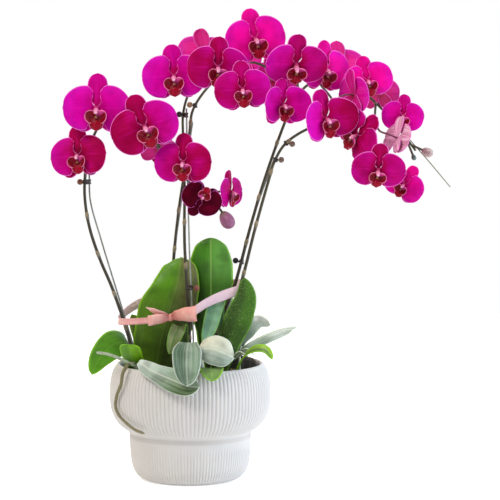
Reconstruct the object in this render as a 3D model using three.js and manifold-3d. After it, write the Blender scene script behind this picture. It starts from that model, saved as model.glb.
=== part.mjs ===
// A potted moth orchid: five arching flower spikes on wire stakes, 27 blooms, a loose collar of broad
// leaves, two aerial roots and a ribbon tied round the stems, in a ribbed two-tier ceramic pot.
// Millimetres, +Z up, origin at the centre of the pot's foot, and the front of the plant looks along -Y.
import * as THREE from "three";
import { mergeVertices } from "three/addons/utils/BufferGeometryUtils.js";
import Module from "manifold-3d";

const wasm = await Module();
wasm.setup();

// Driving dimensions.
const GAP = 0.3;
const POT = {
  footRadius: 64,
  drumRadius: 85,
  drumTop: 62,
  bowlRadius: 113,
  rimRadius: 103,
  height: 163,
  wall: 6,
  floor: 8,
  ribs: 36,
  ribDepth: 1.6,
};
const LINER = { footRadius: 66, topRadius: 95, top: 157, wall: 1.2, segments: 28 };
const SOIL_TOP = 146;
const STEM = { buried: 41, lower: 2.5, upper: 1.5, sides: 5 };
const STAKE_RADIUS = 1.2;
const HOLE_DEPTH = 2;
const PEDICEL = { atBloom: 1.2, atStem: 1.5, sides: 4, steps: 3 };
const BLOOM_WIDTH = 85;
const TEPAL_THICKNESS = 1.1;
const HUB_RADIUS = 4;
const LEAF_THICKNESS = 1.8;
const RIBBON = { width: 10, thickness: 0.8 };

const COLOURS = {
  glaze: 0xe9e7e4,
  liner: 0x2a2c30,
  bark: 0x4d3a2a,
  petal: 0xc4128a,
  stem: 0x4c5234,
  stake: 0x5f6450,
  leaf: 0x3f8a1c,
  paleLeaf: 0xa9bdaa,
  limeLeaf: 0x86c81e,
  root: 0x7d8263,
  ribbon: 0xeeaaa2,
};

// Solids.
const vector = (a) => new THREE.Vector3(...a);
const radians = THREE.MathUtils.degToRad;

function solidOf(geometry) {
  const bare = geometry.clone();
  bare.deleteAttribute("normal");
  bare.deleteAttribute("uv");
  const merged = mergeVertices(bare, 1e-3);
  const triVerts = new Uint32Array(merged.index.array);
  return new wasm.Manifold(
    new wasm.Mesh({ numProp: 3, vertProperties: merged.attributes.position.array, triVerts }),
  );
}

function geometryOf(solid) {
  const made = solid.getMesh();
  const positions = new Float32Array(made.numVert * 3);
  for (let i = 0; i < made.numVert; i++) {
    positions.set(made.vertProperties.subarray(i * made.numProp, i * made.numProp + 3), i * 3);
  }
  const geometry = new THREE.BufferGeometry();
  geometry.setAttribute("position", new THREE.BufferAttribute(positions, 3));
  geometry.setIndex(new THREE.BufferAttribute(made.triVerts, 1));
  geometry.computeVertexNormals();
  return geometry;
}

const union = (solids) => solids.reduce((all, one) => all.add(one));

const plant = new THREE.Group();

function addPart(name, solid, colour, roughness = 0.6) {
  const material = new THREE.MeshStandardMaterial({ color: colour, roughness, metalness: 0 });
  const mesh = new THREE.Mesh(geometryOf(solid), material);
  mesh.name = name;
  plant.add(mesh);
  return mesh;
}

// A closed skin of two like-split faces, one thickness apart, over a grid of stations along and points across.
// place(u, v) gives the middle of the skin for u from 0 to 1 and v from -1 to 1.
function blade(place, stations, across, thickness) {
  const positions = [];
  const index = [];
  const step = 1e-3;
  const row = across + 1;
  for (const side of [1, -1]) {
    for (const u of stations) {
      for (let j = 0; j <= across; j++) {
        const v = -1 + (2 * j) / across;
        const along = place(u + step, v).sub(place(u - step, v));
        const over = place(u, v + step).sub(place(u, v - step));
        const normal = along.cross(over).normalize();
        const point = place(u, v).addScaledVector(normal, (side * thickness) / 2);
        positions.push(point.x, point.y, point.z);
      }
    }
  }
  const rows = stations.length;
  const back = rows * row;
  for (let i = 0; i < rows - 1; i++) {
    for (let j = 0; j < across; j++) {
      const a = i * row + j;
      const b = a + row;
      index.push(a, b, b + 1, a, b + 1, a + 1);
      index.push(back + a, back + b + 1, back + b, back + a, back + a + 1, back + b + 1);
    }
  }
  const wall = (a, b) => index.push(a, back + a, back + b, a, back + b, b);
  for (let i = 0; i < rows - 1; i++) {
    wall(i * row, (i + 1) * row);
    wall((i + 1) * row + across, i * row + across);
  }
  for (let j = 0; j < across; j++) {
    wall(j + 1, j);
    wall((rows - 1) * row + j, (rows - 1) * row + j + 1);
  }
  const geometry = new THREE.BufferGeometry();
  geometry.setAttribute("position", new THREE.Float32BufferAttribute(positions, 3));
  geometry.setIndex(index);
  return geometry;
}

// A round stem along a curve, tapering from one radius to the other, its start cut short by the trim.
function taperedTube(curve, startRadius, endRadius, sides, steps, trim = 0) {
  const geometry = new THREE.CylinderGeometry(1, 1, 1, sides, steps);
  const frames = curve.computeFrenetFrames(steps, false);
  const spots = geometry.attributes.position;
  const onRing = (k, x, z) => {
    const radius = THREE.MathUtils.lerp(startRadius, endRadius, k / steps);
    return curve
      .getPointAt(k / steps)
      .addScaledVector(frames.binormals[k], radius * x)
      .addScaledVector(frames.normals[k], radius * z);
  };
  for (let i = 0; i < spots.count; i++) {
    const k = Math.round((spots.getY(i) + 0.5) * steps);
    const point = onRing(k, spots.getX(i), spots.getZ(i));
    if (k === 0 && trim) point.lerp(onRing(1, spots.getX(i), spots.getZ(i)), (trim * steps) / curve.getLength());
    spots.setXYZ(i, point.x, point.y, point.z);
  }
  return geometry;
}

// How wide a petal or leaf is along its length: 0 at the ends, 1 at the widest, blunt where power is high.
const fullness = (u, shift, power) =>
  Math.pow(Math.max(0, 1 - Math.pow(Math.abs(2 * Math.pow(u, shift) - 1), power)), 1 / power);

// The flower, in its own frame: +Z is the way it faces, +Y is up to the dorsal sepal.
const END = 0.965;
const TEPALS = {
  rightPetal: { angle: 8, length: 43.5, half: 28, shift: 0.74, power: 2.3, lift: 2, lean: 2, arch: 0.05 },
  dorsalSepal: { angle: 90, length: 43, half: 13, shift: 0.85, power: 2, lift: -1.2, lean: -4, arch: 0.03 },
  leftPetal: { angle: 172, length: 43.5, half: 28, shift: 0.74, power: 2.3, lift: 2, lean: 2, arch: 0.05 },
  leftSepal: { angle: 228, length: 37, half: 12.5, shift: 0.85, power: 2, lift: -1.2, lean: -6, arch: 0.03 },
  rightSepal: { angle: 312, length: 37, half: 12.5, shift: 0.85, power: 2, lift: -1.2, lean: -6, arch: 0.03 },
};
const CLAW = { reach: 7, half: 2.2 };
const HUB_CORNERS = [-18, 51, 129, 198, 251, 289];
const LIP = {
  reach: [6, 12, 20, 28],
  half: [2.4, 9, 6, 2],
  rise: [2.5, 7, 9, 6],
  cup: [0, 5.5, -1.5, -1],
};
const COLUMN = { length: 10, root: 2.6, tip: 2, droop: 20, sides: 4 };

// A spot on a petal or sepal: s is the distance out from the hub along its axis, w the offset across it.
function tepalSpot(tepal, s, w, lean, side) {
  const share = s / tepal.length;
  const slope = Math.tan(radians(tepal.lean + lean));
  const bow = (tepal.arch * share * share + (0.07 * w * w) / (tepal.half * tepal.half)) * tepal.length;
  const z = tepal.lift + slope * Math.max(0, s - CLAW.reach) - bow + side * (TEPAL_THICKNESS / 2);
  const angle = radians(tepal.angle);
  return new THREE.Vector3(
    s * Math.cos(angle) - w * Math.sin(angle),
    s * Math.sin(angle) + w * Math.cos(angle),
    z,
  );
}

// The rows of one petal or sepal beyond the hub, each as spots from its clockwise edge to the other.
function tepalRows(tepal, shares, across, lean, side) {
  const rows = [CLAW.reach, ...shares.map((share) => share * tepal.length)].map((s, k) => {
    const half = k === 0 ? CLAW.half : tepal.half * fullness((s / tepal.length) * END, tepal.shift, tepal.power);
    return [...Array(across + 1)].map((_, j) => tepalSpot(tepal, s, half * (-1 + (2 * j) / across), lean, side));
  });
  return rows;
}

// The lip hangs below the column: two cupped side lobes near its root and a pointed middle lobe.
function lipRows(side) {
  return LIP.reach.map((s, k) =>
    [-1, 0, 1].map((v) => {
      const z = LIP.rise[k] + LIP.cup[k] * Math.abs(v) + side * (TEPAL_THICKNESS / 2);
      return new THREE.Vector3(v * LIP.half[k], -s, z);
    }),
  );
}

// The petals, sepals and lip as one star that grows from a flat hub.
function starGeometry(petalLean) {
  const arms = [
    { rows: (side) => tepalRows(TEPALS.rightPetal, [0.28, 0.68, 1], 2, petalLean, side), across: 2 },
    { rows: (side) => tepalRows(TEPALS.dorsalSepal, [0.45, 0.78, 1], 1, 0, side), across: 1 },
    { rows: (side) => tepalRows(TEPALS.leftPetal, [0.28, 0.68, 1], 2, petalLean, side), across: 2 },
    { rows: (side) => tepalRows(TEPALS.leftSepal, [0.5, 0.8, 1], 1, 0, side), across: 1 },
    { rows: lipRows, across: 2 },
    { rows: (side) => tepalRows(TEPALS.rightSepal, [0.5, 0.8, 1], 1, 0, side), across: 1 },
  ];
  const points = [];
  const index = [];
  const add = (point) => points.push(point) - 1;
  const corner = (k, side) => {
    const angle = radians(HUB_CORNERS[k % 6]);
    return new THREE.Vector3(
      HUB_RADIUS * Math.cos(angle),
      HUB_RADIUS * Math.sin(angle),
      side * (TEPAL_THICKNESS / 2),
    );
  };
  const order = [0, 1, 2, 3, 4, 5];
  const rings = {};
  for (const side of [1, -1]) {
    const corners = order.map((k) => add(corner(k, side)));
    rings[side] = order.map((k) => {
      const ends = [corners[k], corners[(k + 1) % 6]];
      if (arms[k].across === 1) return ends;
      const middle = points[ends[0]].clone().add(points[ends[1]]).multiplyScalar(0.5);
      return [ends[0], add(middle), ends[1]];
    });
  }
  for (const side of [1, -1]) {
    const face = (a, b, c) => (side > 0 ? index.push(a, b, c) : index.push(a, c, b));
    const rim = rings[side].flatMap((ring) => ring.slice(0, -1));
    for (let i = 1; i < rim.length - 1; i++) face(rim[0], rim[i], rim[i + 1]);
  }
  arms.forEach((arm, k) => {
    const grid = {};
    for (const side of [1, -1]) {
      grid[side] = [rings[side][k], ...arm.rows(side).map((row) => row.map(add))];
      const face = (a, b, c) => (side > 0 ? index.push(a, b, c) : index.push(a, c, b));
      for (let i = 0; i < grid[side].length - 1; i++) {
        for (let j = 0; j < arm.across; j++) {
          const [near, far] = [grid[side][i], grid[side][i + 1]];
          face(near[j], far[j], far[j + 1]);
          face(near[j], far[j + 1], near[j + 1]);
        }
      }
    }
    const [front, rear] = [grid[1], grid[-1]];
    const wall = (a, b, c, d) => index.push(a, c, d, a, d, b);
    for (let i = 0; i < front.length - 1; i++) {
      wall(front[i][0], front[i + 1][0], rear[i][0], rear[i + 1][0]);
      const last = arm.across;
      wall(front[i + 1][last], front[i][last], rear[i + 1][last], rear[i][last]);
    }
    const tip = front.length - 1;
    for (let j = 0; j < arm.across; j++) {
      wall(front[tip][j], front[tip][j + 1], rear[tip][j], rear[tip][j + 1]);
    }
  });
  const geometry = new THREE.BufferGeometry();
  geometry.setAttribute("position", new THREE.Float32BufferAttribute(points.flatMap((p) => p.toArray()), 3));
  geometry.setIndex(index);
  return geometry;
}

function column() {
  const geometry = new THREE.CylinderGeometry(COLUMN.tip, COLUMN.root, COLUMN.length, COLUMN.sides);
  geometry.translate(0, COLUMN.length / 2, 0);
  geometry.rotateX(radians(90 + COLUMN.droop));
  return solidOf(geometry);
}

function bloomSolid(petalLean) {
  return solidOf(starGeometry(petalLean)).add(column());
}

// Where each bloom is: its hub, how far it turns to the right (yaw), looks up (pitch) and rolls to the left,
// its width across the petals, how far its petals fold forward, and the spike that bears it.
const BLOOMS = [
  { name: "bloom_01", at: [-153, -35, 456], yaw: -15, pitch: 8, roll: 8, width: 79, spike: "left" },
  { name: "bloom_02", at: [-126, -50, 521], yaw: -3, pitch: 0, roll: 0, width: 91, spike: "left" },
  { name: "bloom_03", at: [-60, -60, 496], yaw: 3, pitch: 0, roll: 22, width: 91, spike: "left" },
  { name: "bloom_04", at: [-42, 20, 461], yaw: 170, pitch: 10, roll: 30, width: 62, spike: "left" },
  { name: "bloom_05", at: [-8, -50, 447], yaw: -6, pitch: 0, roll: 0, width: 78, spike: "left" },
  { name: "bloom_06", at: [17, -36, 396], yaw: 5, pitch: -10, roll: 150, width: 56, spike: "left" },
  { name: "bloom_07", at: [57, -7, 404], yaw: 62, pitch: 0, roll: 0, width: 60, spike: "left" },
  { name: "bloom_08", at: [-20, -45, 565], yaw: -3, pitch: 0, roll: 4, width: 84, spike: "middle" },
  { name: "bloom_09", at: [40, -60, 577], yaw: 8, pitch: -3, roll: -3, width: 83, spike: "middle" },
  { name: "bloom_10", at: [20, 30, 597], yaw: 165, pitch: 25, roll: 0, width: 76, spike: "middle" },
  { name: "bloom_11", at: [74, -75, 547], yaw: 0, pitch: 0, roll: 6, width: 75, spike: "back" },
  { name: "bloom_12", at: [91, -20, 616], yaw: 12, pitch: 0, roll: 12, width: 84, spike: "back" },
  { name: "bloom_13", at: [67, 45, 591], yaw: 160, pitch: 0, roll: 0, width: 70, spike: "back" },
  { name: "bloom_14", at: [115, 40, 559], yaw: 165, pitch: 0, roll: 0, width: 76, spike: "back" },
  { name: "bloom_15", at: [147, -64, 581], yaw: 8, pitch: -28, roll: 0, width: 84, spike: "rightHigh" },
  { name: "bloom_16", at: [129, -65, 526], yaw: 28, pitch: 0, roll: 0, width: 70, lean: 25, spike: "rightHigh" },
  { name: "bloom_17", at: [188, -22, 574], yaw: 35, pitch: 0, roll: -5, width: 78, spike: "rightHigh" },
  { name: "bloom_18", at: [208, 48, 577], yaw: 170, pitch: 15, roll: 0, width: 76, spike: "rightHigh" },
  { name: "bloom_19", at: [247, -12, 559], yaw: 5, pitch: 0, roll: 14, width: 68, spike: "rightHigh" },
  {
    name: "bloom_20", at: [226, -41, 539], yaw: 122, pitch: 0, roll: 0, width: 70, spike: "rightHigh",
    via: [[196, 0, 536], [198, -30, 530]],
  },
  { name: "bloom_21", at: [267, 46, 541], yaw: 150, pitch: 0, roll: 0, width: 62, spike: "rightHigh" },
  { name: "bloom_22", at: [296, -15, 510], yaw: 0, pitch: 0, roll: -5, width: 57, spike: "rightHigh" },
  {
    name: "bloom_23", at: [286, -48, 480], yaw: 120, pitch: -20, roll: 0, width: 60, spike: "rightHigh",
    via: [[258, -6, 508], [262, -34, 490]],
  },
  { name: "bloom_24", at: [187, -72, 507], yaw: 28, pitch: 0, roll: 12, width: 80, lean: 25, spike: "rightLow" },
  { name: "bloom_25", at: [231, -63, 484], yaw: -45, pitch: 0, roll: -50, width: 78, spike: "rightLow" },
  { name: "bloom_26", at: [257, -98, 439], yaw: 0, pitch: -20, roll: -6, width: 72, spike: "rightLow" },
  { name: "bloom_27", at: [295, -64, 417], yaw: -20, pitch: 0, roll: -30, width: 57, spike: "rightLow" },
];

function bloomMatrix(bloom) {
  const turn = new THREE.Matrix4().makeRotationZ(radians(bloom.yaw));
  turn.multiply(new THREE.Matrix4().makeRotationX(radians(90 - bloom.pitch)));
  turn.multiply(new THREE.Matrix4().makeRotationZ(radians(bloom.roll)));
  const size = bloom.width / BLOOM_WIDTH;
  return new THREE.Matrix4()
    .makeTranslation(...bloom.at)
    .multiply(turn)
    .multiply(new THREE.Matrix4().makeScale(size, size, size));
}

for (const bloom of BLOOMS) {
  const mesh = addPart(bloom.name, bloomSolid(bloom.lean ?? 0), COLOURS.petal, 0.55);
  mesh.applyMatrix4(bloomMatrix(bloom));
}

// The bare end of the training wire that runs on past the tip of the high right spike.
const WIRE = [[256, 14, 531], [272, 13, 516], [300, 6, 484], [332, 3, 448], [364, 2, 410]];

// Flower spikes, from their buried feet to their tips.
const SPIKES = {
  left: [
    [-67, -2, SOIL_TOP - STEM.buried], [-75, -4, SOIL_TOP], [-85, -8, 196], [-107, -12, 266], [-126, -12, 312],
    [-140, -12, 356], [-146, -12, 398], [-145, -10, 430], [-138, -6, 470], [-120, -2, 503], [-92, 0, 516],
    [-64, 0, 502], [-44, -4, 470], [-22, -8, 440], [2, -10, 415], [22, -14, 398], [40, -18, 384],
  ],
  middle: [
    [0, -12, SOIL_TOP - STEM.buried], [0, -14, SOIL_TOP], [-1, -18, 222], [-5, -20, 293], [-7, -20, 335],
    [-7, -18, 414], [-9, -15, 486], [-9, -12, 510], [-4, -10, 533], [8, -8, 556], [26, -6, 574], [46, -4, 582],
  ],
  back: [
    [-30, 42, SOIL_TOP - STEM.buried], [-29, 40, SOIL_TOP], [-27, 38, 250], [-24, 36, 309], [-16, 34, 381],
    [-10, 32, 420], [-1, 28, 487], [3, 26, 515], [16, 22, 538], [34, 20, 558], [58, 18, 576], [84, 16, 584],
    [105, 14, 578], [120, 12, 566],
  ],
  rightHigh: [
    [17, 6, SOIL_TOP - STEM.buried], [23, 6, SOIL_TOP], [45, 4, 225], [63, 2, 274], [85, 0, 356], [104, -2, 420],
    [130, -4, 494], [143, -4, 525], [158, 2, 547], [182, 10, 561], [217, 15, 556], [241, 15, 544], [256, 14, 531],
    [272, 12, 515], [287, 9, 498], [301, 4, 480], [315, 0, 461],
  ],
  rightLow: [
    [31, 0, SOIL_TOP - STEM.buried], [36, -1, SOIL_TOP], [54, -3, 225], [71, -5, 274], [92, -8, 356], [110, -10, 420],
    [117, -12, 444], [132, -17, 470], [160, -25, 490], [185, -31, 498], [207, -33, 491], [228, -34, 476],
    [247, -37, 460], [266, -41, 444], [283, -42, 430], [295, -38, 420],
  ],
};
const SPIKE_STEPS = { left: 19, middle: 11, back: 13, rightHigh: 17, rightLow: 16 };
const routes = Object.fromEntries(
  Object.entries(SPIKES).map(([name, points]) => [name, new THREE.CatmullRomCurve3(points.map(vector))]),
);

// Buds at the spike tips: where, how long and how wide.
const BUDS = [
  { spike: "left", at: [52, -24, 366], from: 1, length: 27, width: 20 },
  { spike: "rightHigh", at: [331, -4, 459], from: 0.985, length: 17, width: 13 },
  { spike: "rightHigh", at: [312, -6, 452], from: 0.965, length: 9, width: 7 },
];

// A spot on the straight runs that the spike's stem is made of.
function onStem(name, share) {
  const steps = SPIKE_STEPS[name];
  const k = Math.min(steps - 1, Math.floor(share * steps));
  const [near, far] = [k / steps, (k + 1) / steps].map((t) => routes[name].getPointAt(t));
  return near.lerp(far, share * steps - k);
}

function nearestShare(name, point) {
  let best = { gap: Infinity, share: 0 };
  for (let share = 0.35; share <= 1; share += 0.01) {
    const gap = onStem(name, share).distanceTo(point);
    if (gap < best.gap) best = { gap, share };
  }
  return best.share;
}

// The flower stalk from the spike to the back of a bloom's hub.
function pedicel(bloom) {
  const matrix = bloomMatrix(bloom);
  const size = bloom.width / BLOOM_WIDTH;
  const behind = (reach) => new THREE.Vector3(0, 0, -TEPAL_THICKNESS / 2 - reach / size).applyMatrix4(matrix);
  const away = bloom.via ? vector(bloom.via[0]) : behind(18);
  const foot = onStem(bloom.spike, Math.max(0.35, nearestShare(bloom.spike, away) - 0.02));
  if (bloom.via) {
    const bent = new THREE.CatmullRomCurve3([foot, ...bloom.via.map(vector), behind(14), behind(GAP)]);
    return solidOf(taperedTube(bent, PEDICEL.atStem, PEDICEL.atBloom, PEDICEL.sides, 6));
  }
  const curve = new THREE.CubicBezierCurve3(
    foot,
    foot.clone().lerp(away, 0.35).add(new THREE.Vector3(0, 0, 4)),
    behind(12),
    behind(GAP),
  );
  return solidOf(taperedTube(curve, PEDICEL.atStem, PEDICEL.atBloom, PEDICEL.sides, PEDICEL.steps));
}

function bud({ at, length, width }) {
  const geometry = new THREE.SphereGeometry(1, 5, 4);
  geometry.scale(width / 2, width / 2, length / 2);
  geometry.translate(...at);
  return solidOf(geometry);
}

function budStalk({ spike, from, at }) {
  const foot = onStem(spike, from);
  const curve = new THREE.LineCurve3(foot, vector(at));
  return solidOf(taperedTube(curve, PEDICEL.atStem, PEDICEL.atBloom, PEDICEL.sides, 1));
}

for (const [name, route] of Object.entries(routes)) {
  const pieces = [solidOf(taperedTube(route, STEM.lower, STEM.upper, STEM.sides, SPIKE_STEPS[name], HOLE_DEPTH))];
  for (const bloom of BLOOMS.filter((b) => b.spike === name)) pieces.push(pedicel(bloom));
  for (const one of BUDS.filter((b) => b.spike === name)) pieces.push(bud(one), budStalk(one));
  if (name === "rightHigh") pieces.push(solidOf(taperedTube(new THREE.CatmullRomCurve3(WIRE.map(vector)), 0.8, 0.8, 4, 6)));
  addPart(`spike_${name}`, union(pieces), COLOURS.stem);
}

// Wire stakes beside the spikes, each pushed into the medium.
const STAKES = {
  left: [[-70, 6, SOIL_TOP - 30], [-77, 5, 172], [-97, 3, 244], [-124, -2, 336], [-139, -3, 392], [-140, -5, 428]],
  middle: [[5, -24, SOIL_TOP - 30], [5, -25, 200], [1, -26, 293], [-2, -24, 400], [-4, -19, 520]],
  back: [[-23, 46, SOIL_TOP - 30], [-30, 45, 247], [-13, 40, 390], [3, 34, 500]],
  right: [[42, 10, SOIL_TOP - 30], [50, 8, 225], [66, 7, 279], [90, 5, 371], [118, 2, 450]],
};

// Small clips that hold a spike to its stake: a block with a hole for each.
const CLIPS = [
  { name: "clip_left", spike: "left", stake: "left", z: 418 },
  { name: "clip_middle", spike: "middle", stake: "middle", z: 272 },
  { name: "clip_upper", spike: "middle", stake: "middle", z: 511 },
  { name: "clip_right", spike: "rightHigh", stake: "right", z: 305 },
];

const stakeRoutes = Object.fromEntries(
  Object.entries(STAKES).map(([name, points]) => [name, new THREE.CatmullRomCurve3(points.map(vector))]),
);
const STAKE_STEPS = 6;
const stakeTube = (name, extra, trim) =>
  taperedTube(stakeRoutes[name], STAKE_RADIUS + extra, STAKE_RADIUS + extra, 6, STAKE_STEPS, trim);
const stemTube = (name, extra) =>
  taperedTube(routes[name], STEM.lower + extra, STEM.upper + extra, STEM.sides, SPIKE_STEPS[name]);

for (const name of Object.keys(STAKES)) addPart(`stake_${name}`, solidOf(stakeTube(name, 0, HOLE_DEPTH)), COLOURS.stake);

function pointAtHeight(route, z) {
  let best = route.getPointAt(0);
  for (let share = 0; share <= 1; share += 0.002) {
    const point = route.getPointAt(share);
    if (Math.abs(point.z - z) < Math.abs(best.z - z)) best = point;
  }
  return best;
}

for (const { name, spike, stake, z } of CLIPS) {
  const onSpike = pointAtHeight(routes[spike], z);
  const onStake = pointAtHeight(stakeRoutes[stake], z);
  const across = onStake.clone().sub(onSpike);
  const block = new THREE.CylinderGeometry(4.4, 4.4, 7, 6, 1);
  block.scale((across.length() / 2 + 4.6) / 4.4, 1, 1);
  block.rotateX(Math.PI / 2);
  block.rotateZ(Math.atan2(across.y, across.x));
  const middle = onSpike.clone().lerp(onStake, 0.5);
  block.translate(middle.x, middle.y, middle.z);
  const holes = [solidOf(stemTube(spike, GAP)), solidOf(stakeTube(stake, GAP))];
  addPart(name, solidOf(block).subtract(union(holes)), COLOURS.bark, 0.45);
}

// Leaves: the middle line from the foot in the medium to the tip, the half width at each point of it,
// the way across (turned level unless given), how deep the channel is, and its colour.
const LEAVES = [
  {
    name: "leaf_left_outer",
    spine: [[-72, 24, 130], [-75, 24, 150], [-88, 18, 186], [-106, 6, 189], [-126, -8, 172], [-138, -18, 150]],
    half: [4, 7, 16, 20, 16, 3],
    across: [-0.7, 0.1, 0.7],
    channel: 0.12,
    colour: COLOURS.leaf,
  },
  {
    name: "leaf_left_broad",
    spine: [[-48, 12, 124], [-49, 12, 145], [-43, 10, 187], [-31, 4, 233], [-19, 2, 271], [-14, 6, 299], [-14, 9, 310]],
    half: [5, 10, 30, 42, 33, 14, 3],
    across: [0.93, 0.05, 0.36],
    channel: 0.22,
    colour: COLOURS.leaf,
  },
  {
    name: "leaf_lime_curled",
    spine: [[-68, -26, 130], [-72, -34, 150], [-77, -45, 168], [-80, -54, 181], [-82, -60, 191], [-83, -64, 197]],
    half: [4, 10, 15, 16, 15, 4],
    across: [0.95, -0.3, 0],
    channel: 0.15,
    colour: COLOURS.limeLeaf,
  },
  {
    name: "leaf_tall",
    spine: [[29, 26, 124], [29, 26, 145], [29, 24, 192], [29, 20, 250], [29, 14, 300], [29, 14, 327], [29, 17, 338]],
    half: [5, 8, 20, 31, 31, 20, 4],
    across: [1, 0, 0],
    channel: 0.15,
    colour: COLOURS.leaf,
  },
  {
    name: "leaf_speckled",
    spine: [[43, -28, 130], [45, -28, 150], [53, -28, 188], [67, -27, 226], [78, -24, 258], [76, -20, 284]],
    half: [4, 6, 15, 20, 15, 3],
    across: [0.9, -0.1, -0.4],
    channel: 0.1,
    colour: COLOURS.leaf,
  },
  {
    name: "leaf_pale_hanging",
    spine: [[40, -20, 130], [41, -18, 160], [43, -14, 215], [44, -6, 243], [39, -14, 252], [29, -40, 222], [20, -57, 196]],
    half: [3, 3, 4, 5, 18, 13, 2],
    across: [0.9, 0.45, 0],
    channel: 0.1,
    colour: COLOURS.paleLeaf,
  },
  {
    name: "leaf_front_drooping",
    spine: [[-50, -50, 130], [-56, -57, 151], [-69, -70, 173], [-50, -98, 165], [-20, -114, 154], [0, -122, 147], [15, -127, 146]],
    half: [2.5, 3, 4, 12, 17, 15, 5],
    across: [-0.55, -0.37, -0.73],
    channel: 0.06,
    colour: COLOURS.paleLeaf,
  },
  {
    name: "leaf_front_middle",
    spine: [[8, -52, 132], [7, -60, 152], [4, -78, 186], [1, -98, 203], [-1, -118, 192], [-1, -130, 172], [0, -136, 150]],
    half: [3, 3.5, 4, 11, 19, 18, 4],
    across: [1, 0, 0],
    channel: 0.1,
    colour: COLOURS.paleLeaf,
  },
  {
    name: "leaf_front_right",
    spine: [[23, -42, 130], [22, -52, 155], [21, -74, 185], [23, -92, 194], [37, -100, 194], [52, -101, 188], [61, -98, 183]],
    half: [3, 3.5, 4, 6, 20, 20, 6],
    across: [-0.29, -0.44, -0.83],
    channel: 0.1,
    colour: COLOURS.paleLeaf,
  },
  {
    name: "leaf_front_green",
    spine: [[27, -54, 128], [28, -62, 147], [30, -84, 165], [31, -102, 168], [32, -114, 163], [33, -121, 154]],
    half: [3, 5, 13, 16, 13, 3],
    across: [0.96, 0.28, 0],
    channel: 0.1,
    colour: COLOURS.limeLeaf,
  },
  {
    name: "leaf_striped_small",
    spine: [[-6, -34, 130], [-7, -34, 150], [-9, -34, 200], [-13, -38, 218], [-20, -46, 205], [-27, -50, 182]],
    half: [3, 4, 8, 11, 10, 2],
    across: [1, 0, 0],
    channel: 0.1,
    colour: COLOURS.paleLeaf,
  },
  {
    name: "leaf_right_drooping",
    spine: [[62, -28, 130], [64, -31, 148], [76, -46, 178], [92, -58, 190], [106, -66, 190], [115, -70, 178]],
    half: [2.5, 3, 5, 7, 7, 2],
    across: [0.5, 0.2, 0.7],
    channel: 0.12,
    colour: COLOURS.limeLeaf,
  },
  {
    name: "leaf_left_back",
    spine: [[-60, 30, 128], [-61, 30, 148], [-70, 26, 190], [-78, 21, 216], [-81, 18, 229]],
    half: [3, 5, 10, 9, 2],
    across: [0.9, 0, 0.35],
    channel: 0.15,
    colour: COLOURS.leaf,
  },
];
const LEAF_ACROSS = 2;
const LEAF_STEPS = 1.1;

// The foot reaches on by the given share of the length, which a hole uses to be deeper than its leaf.
function leafSolid(leaf, extra = 0, across = LEAF_ACROSS, deeper = 0) {
  const curve = new THREE.CatmullRomCurve3(leaf.spine.map(vector));
  const last = leaf.spine.length - 1;
  const side = vector(leaf.across).normalize();
  const place = (u, v) => {
    const inside = THREE.MathUtils.clamp(u, 0, 1);
    const along = curve.getTangent(inside);
    const over = side.clone().addScaledVector(along, -side.dot(along)).normalize();
    const facing = over.clone().cross(along);
    const at = Math.min(last - 1, Math.max(0, Math.floor(u * last)));
    const rest = THREE.MathUtils.clamp(u * last - at, 0, 1);
    const ease = rest * rest * (3 - 2 * rest);
    const half = THREE.MathUtils.lerp(leaf.half[at], leaf.half[at + 1], ease) + extra;
    return curve
      .getPoint(inside)
      .addScaledVector(over, v * half)
      .addScaledVector(facing, -leaf.channel * half * v * v)
      .addScaledVector(along, (u - inside) * 100);
  };
  const count = Math.round(last * LEAF_STEPS);
  const stations = [...Array(count + 1)].map((_, i) => i / count);
  if (deeper) stations.unshift(-deeper);
  return solidOf(blade(place, stations, across, LEAF_THICKNESS + 2 * extra));
}

for (const leaf of LEAVES) addPart(leaf.name, leafSolid(leaf), leaf.colour, 0.5);

// A silvery sprig on the right: one short stem with narrow leaves.
const SPRIG = {
  stem: [[68, -6, 128], [69, -8, 150], [70, -12, 184], [74, -15, 200]],
  leaves: [
    { spine: [[72, -13, 190], [80, -18, 210], [97, -24, 224], [113, -30, 217]], half: [2, 9, 8, 2], across: [0.4, 0.3, -0.86] },
    { spine: [[70, -12, 181], [101, -20, 199], [131, -26, 212]], half: [2, 5, 1.5], across: [0.3, 0.3, -0.9] },
    { spine: [[70, -11, 184], [109, -4, 197], [147, 2, 212]], half: [2, 5, 1.5], across: [0.3, 0.3, -0.9] },
    { spine: [[70, -12, 180], [60, -14, 193], [55, -14, 206]], half: [2, 5, 1.5], across: [0.8, 0, 0.5] },
    { spine: [[70, -12, 178], [80, -24, 184], [87, -34, 177]], half: [2, 6, 2], across: [0.5, 0.3, -0.8] },
  ],
};
const sprigStem = (extra, trim) =>
  solidOf(taperedTube(new THREE.CatmullRomCurve3(SPRIG.stem.map(vector)), 2 + extra, 1.6 + extra, 5, 3, trim));
const sprigLeaves = SPRIG.leaves.map((leaf) => leafSolid({ ...leaf, channel: 0 }, 0, 1));
addPart("silver_sprig", union([sprigStem(0, HOLE_DEPTH), ...sprigLeaves]), COLOURS.paleLeaf);

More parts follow.
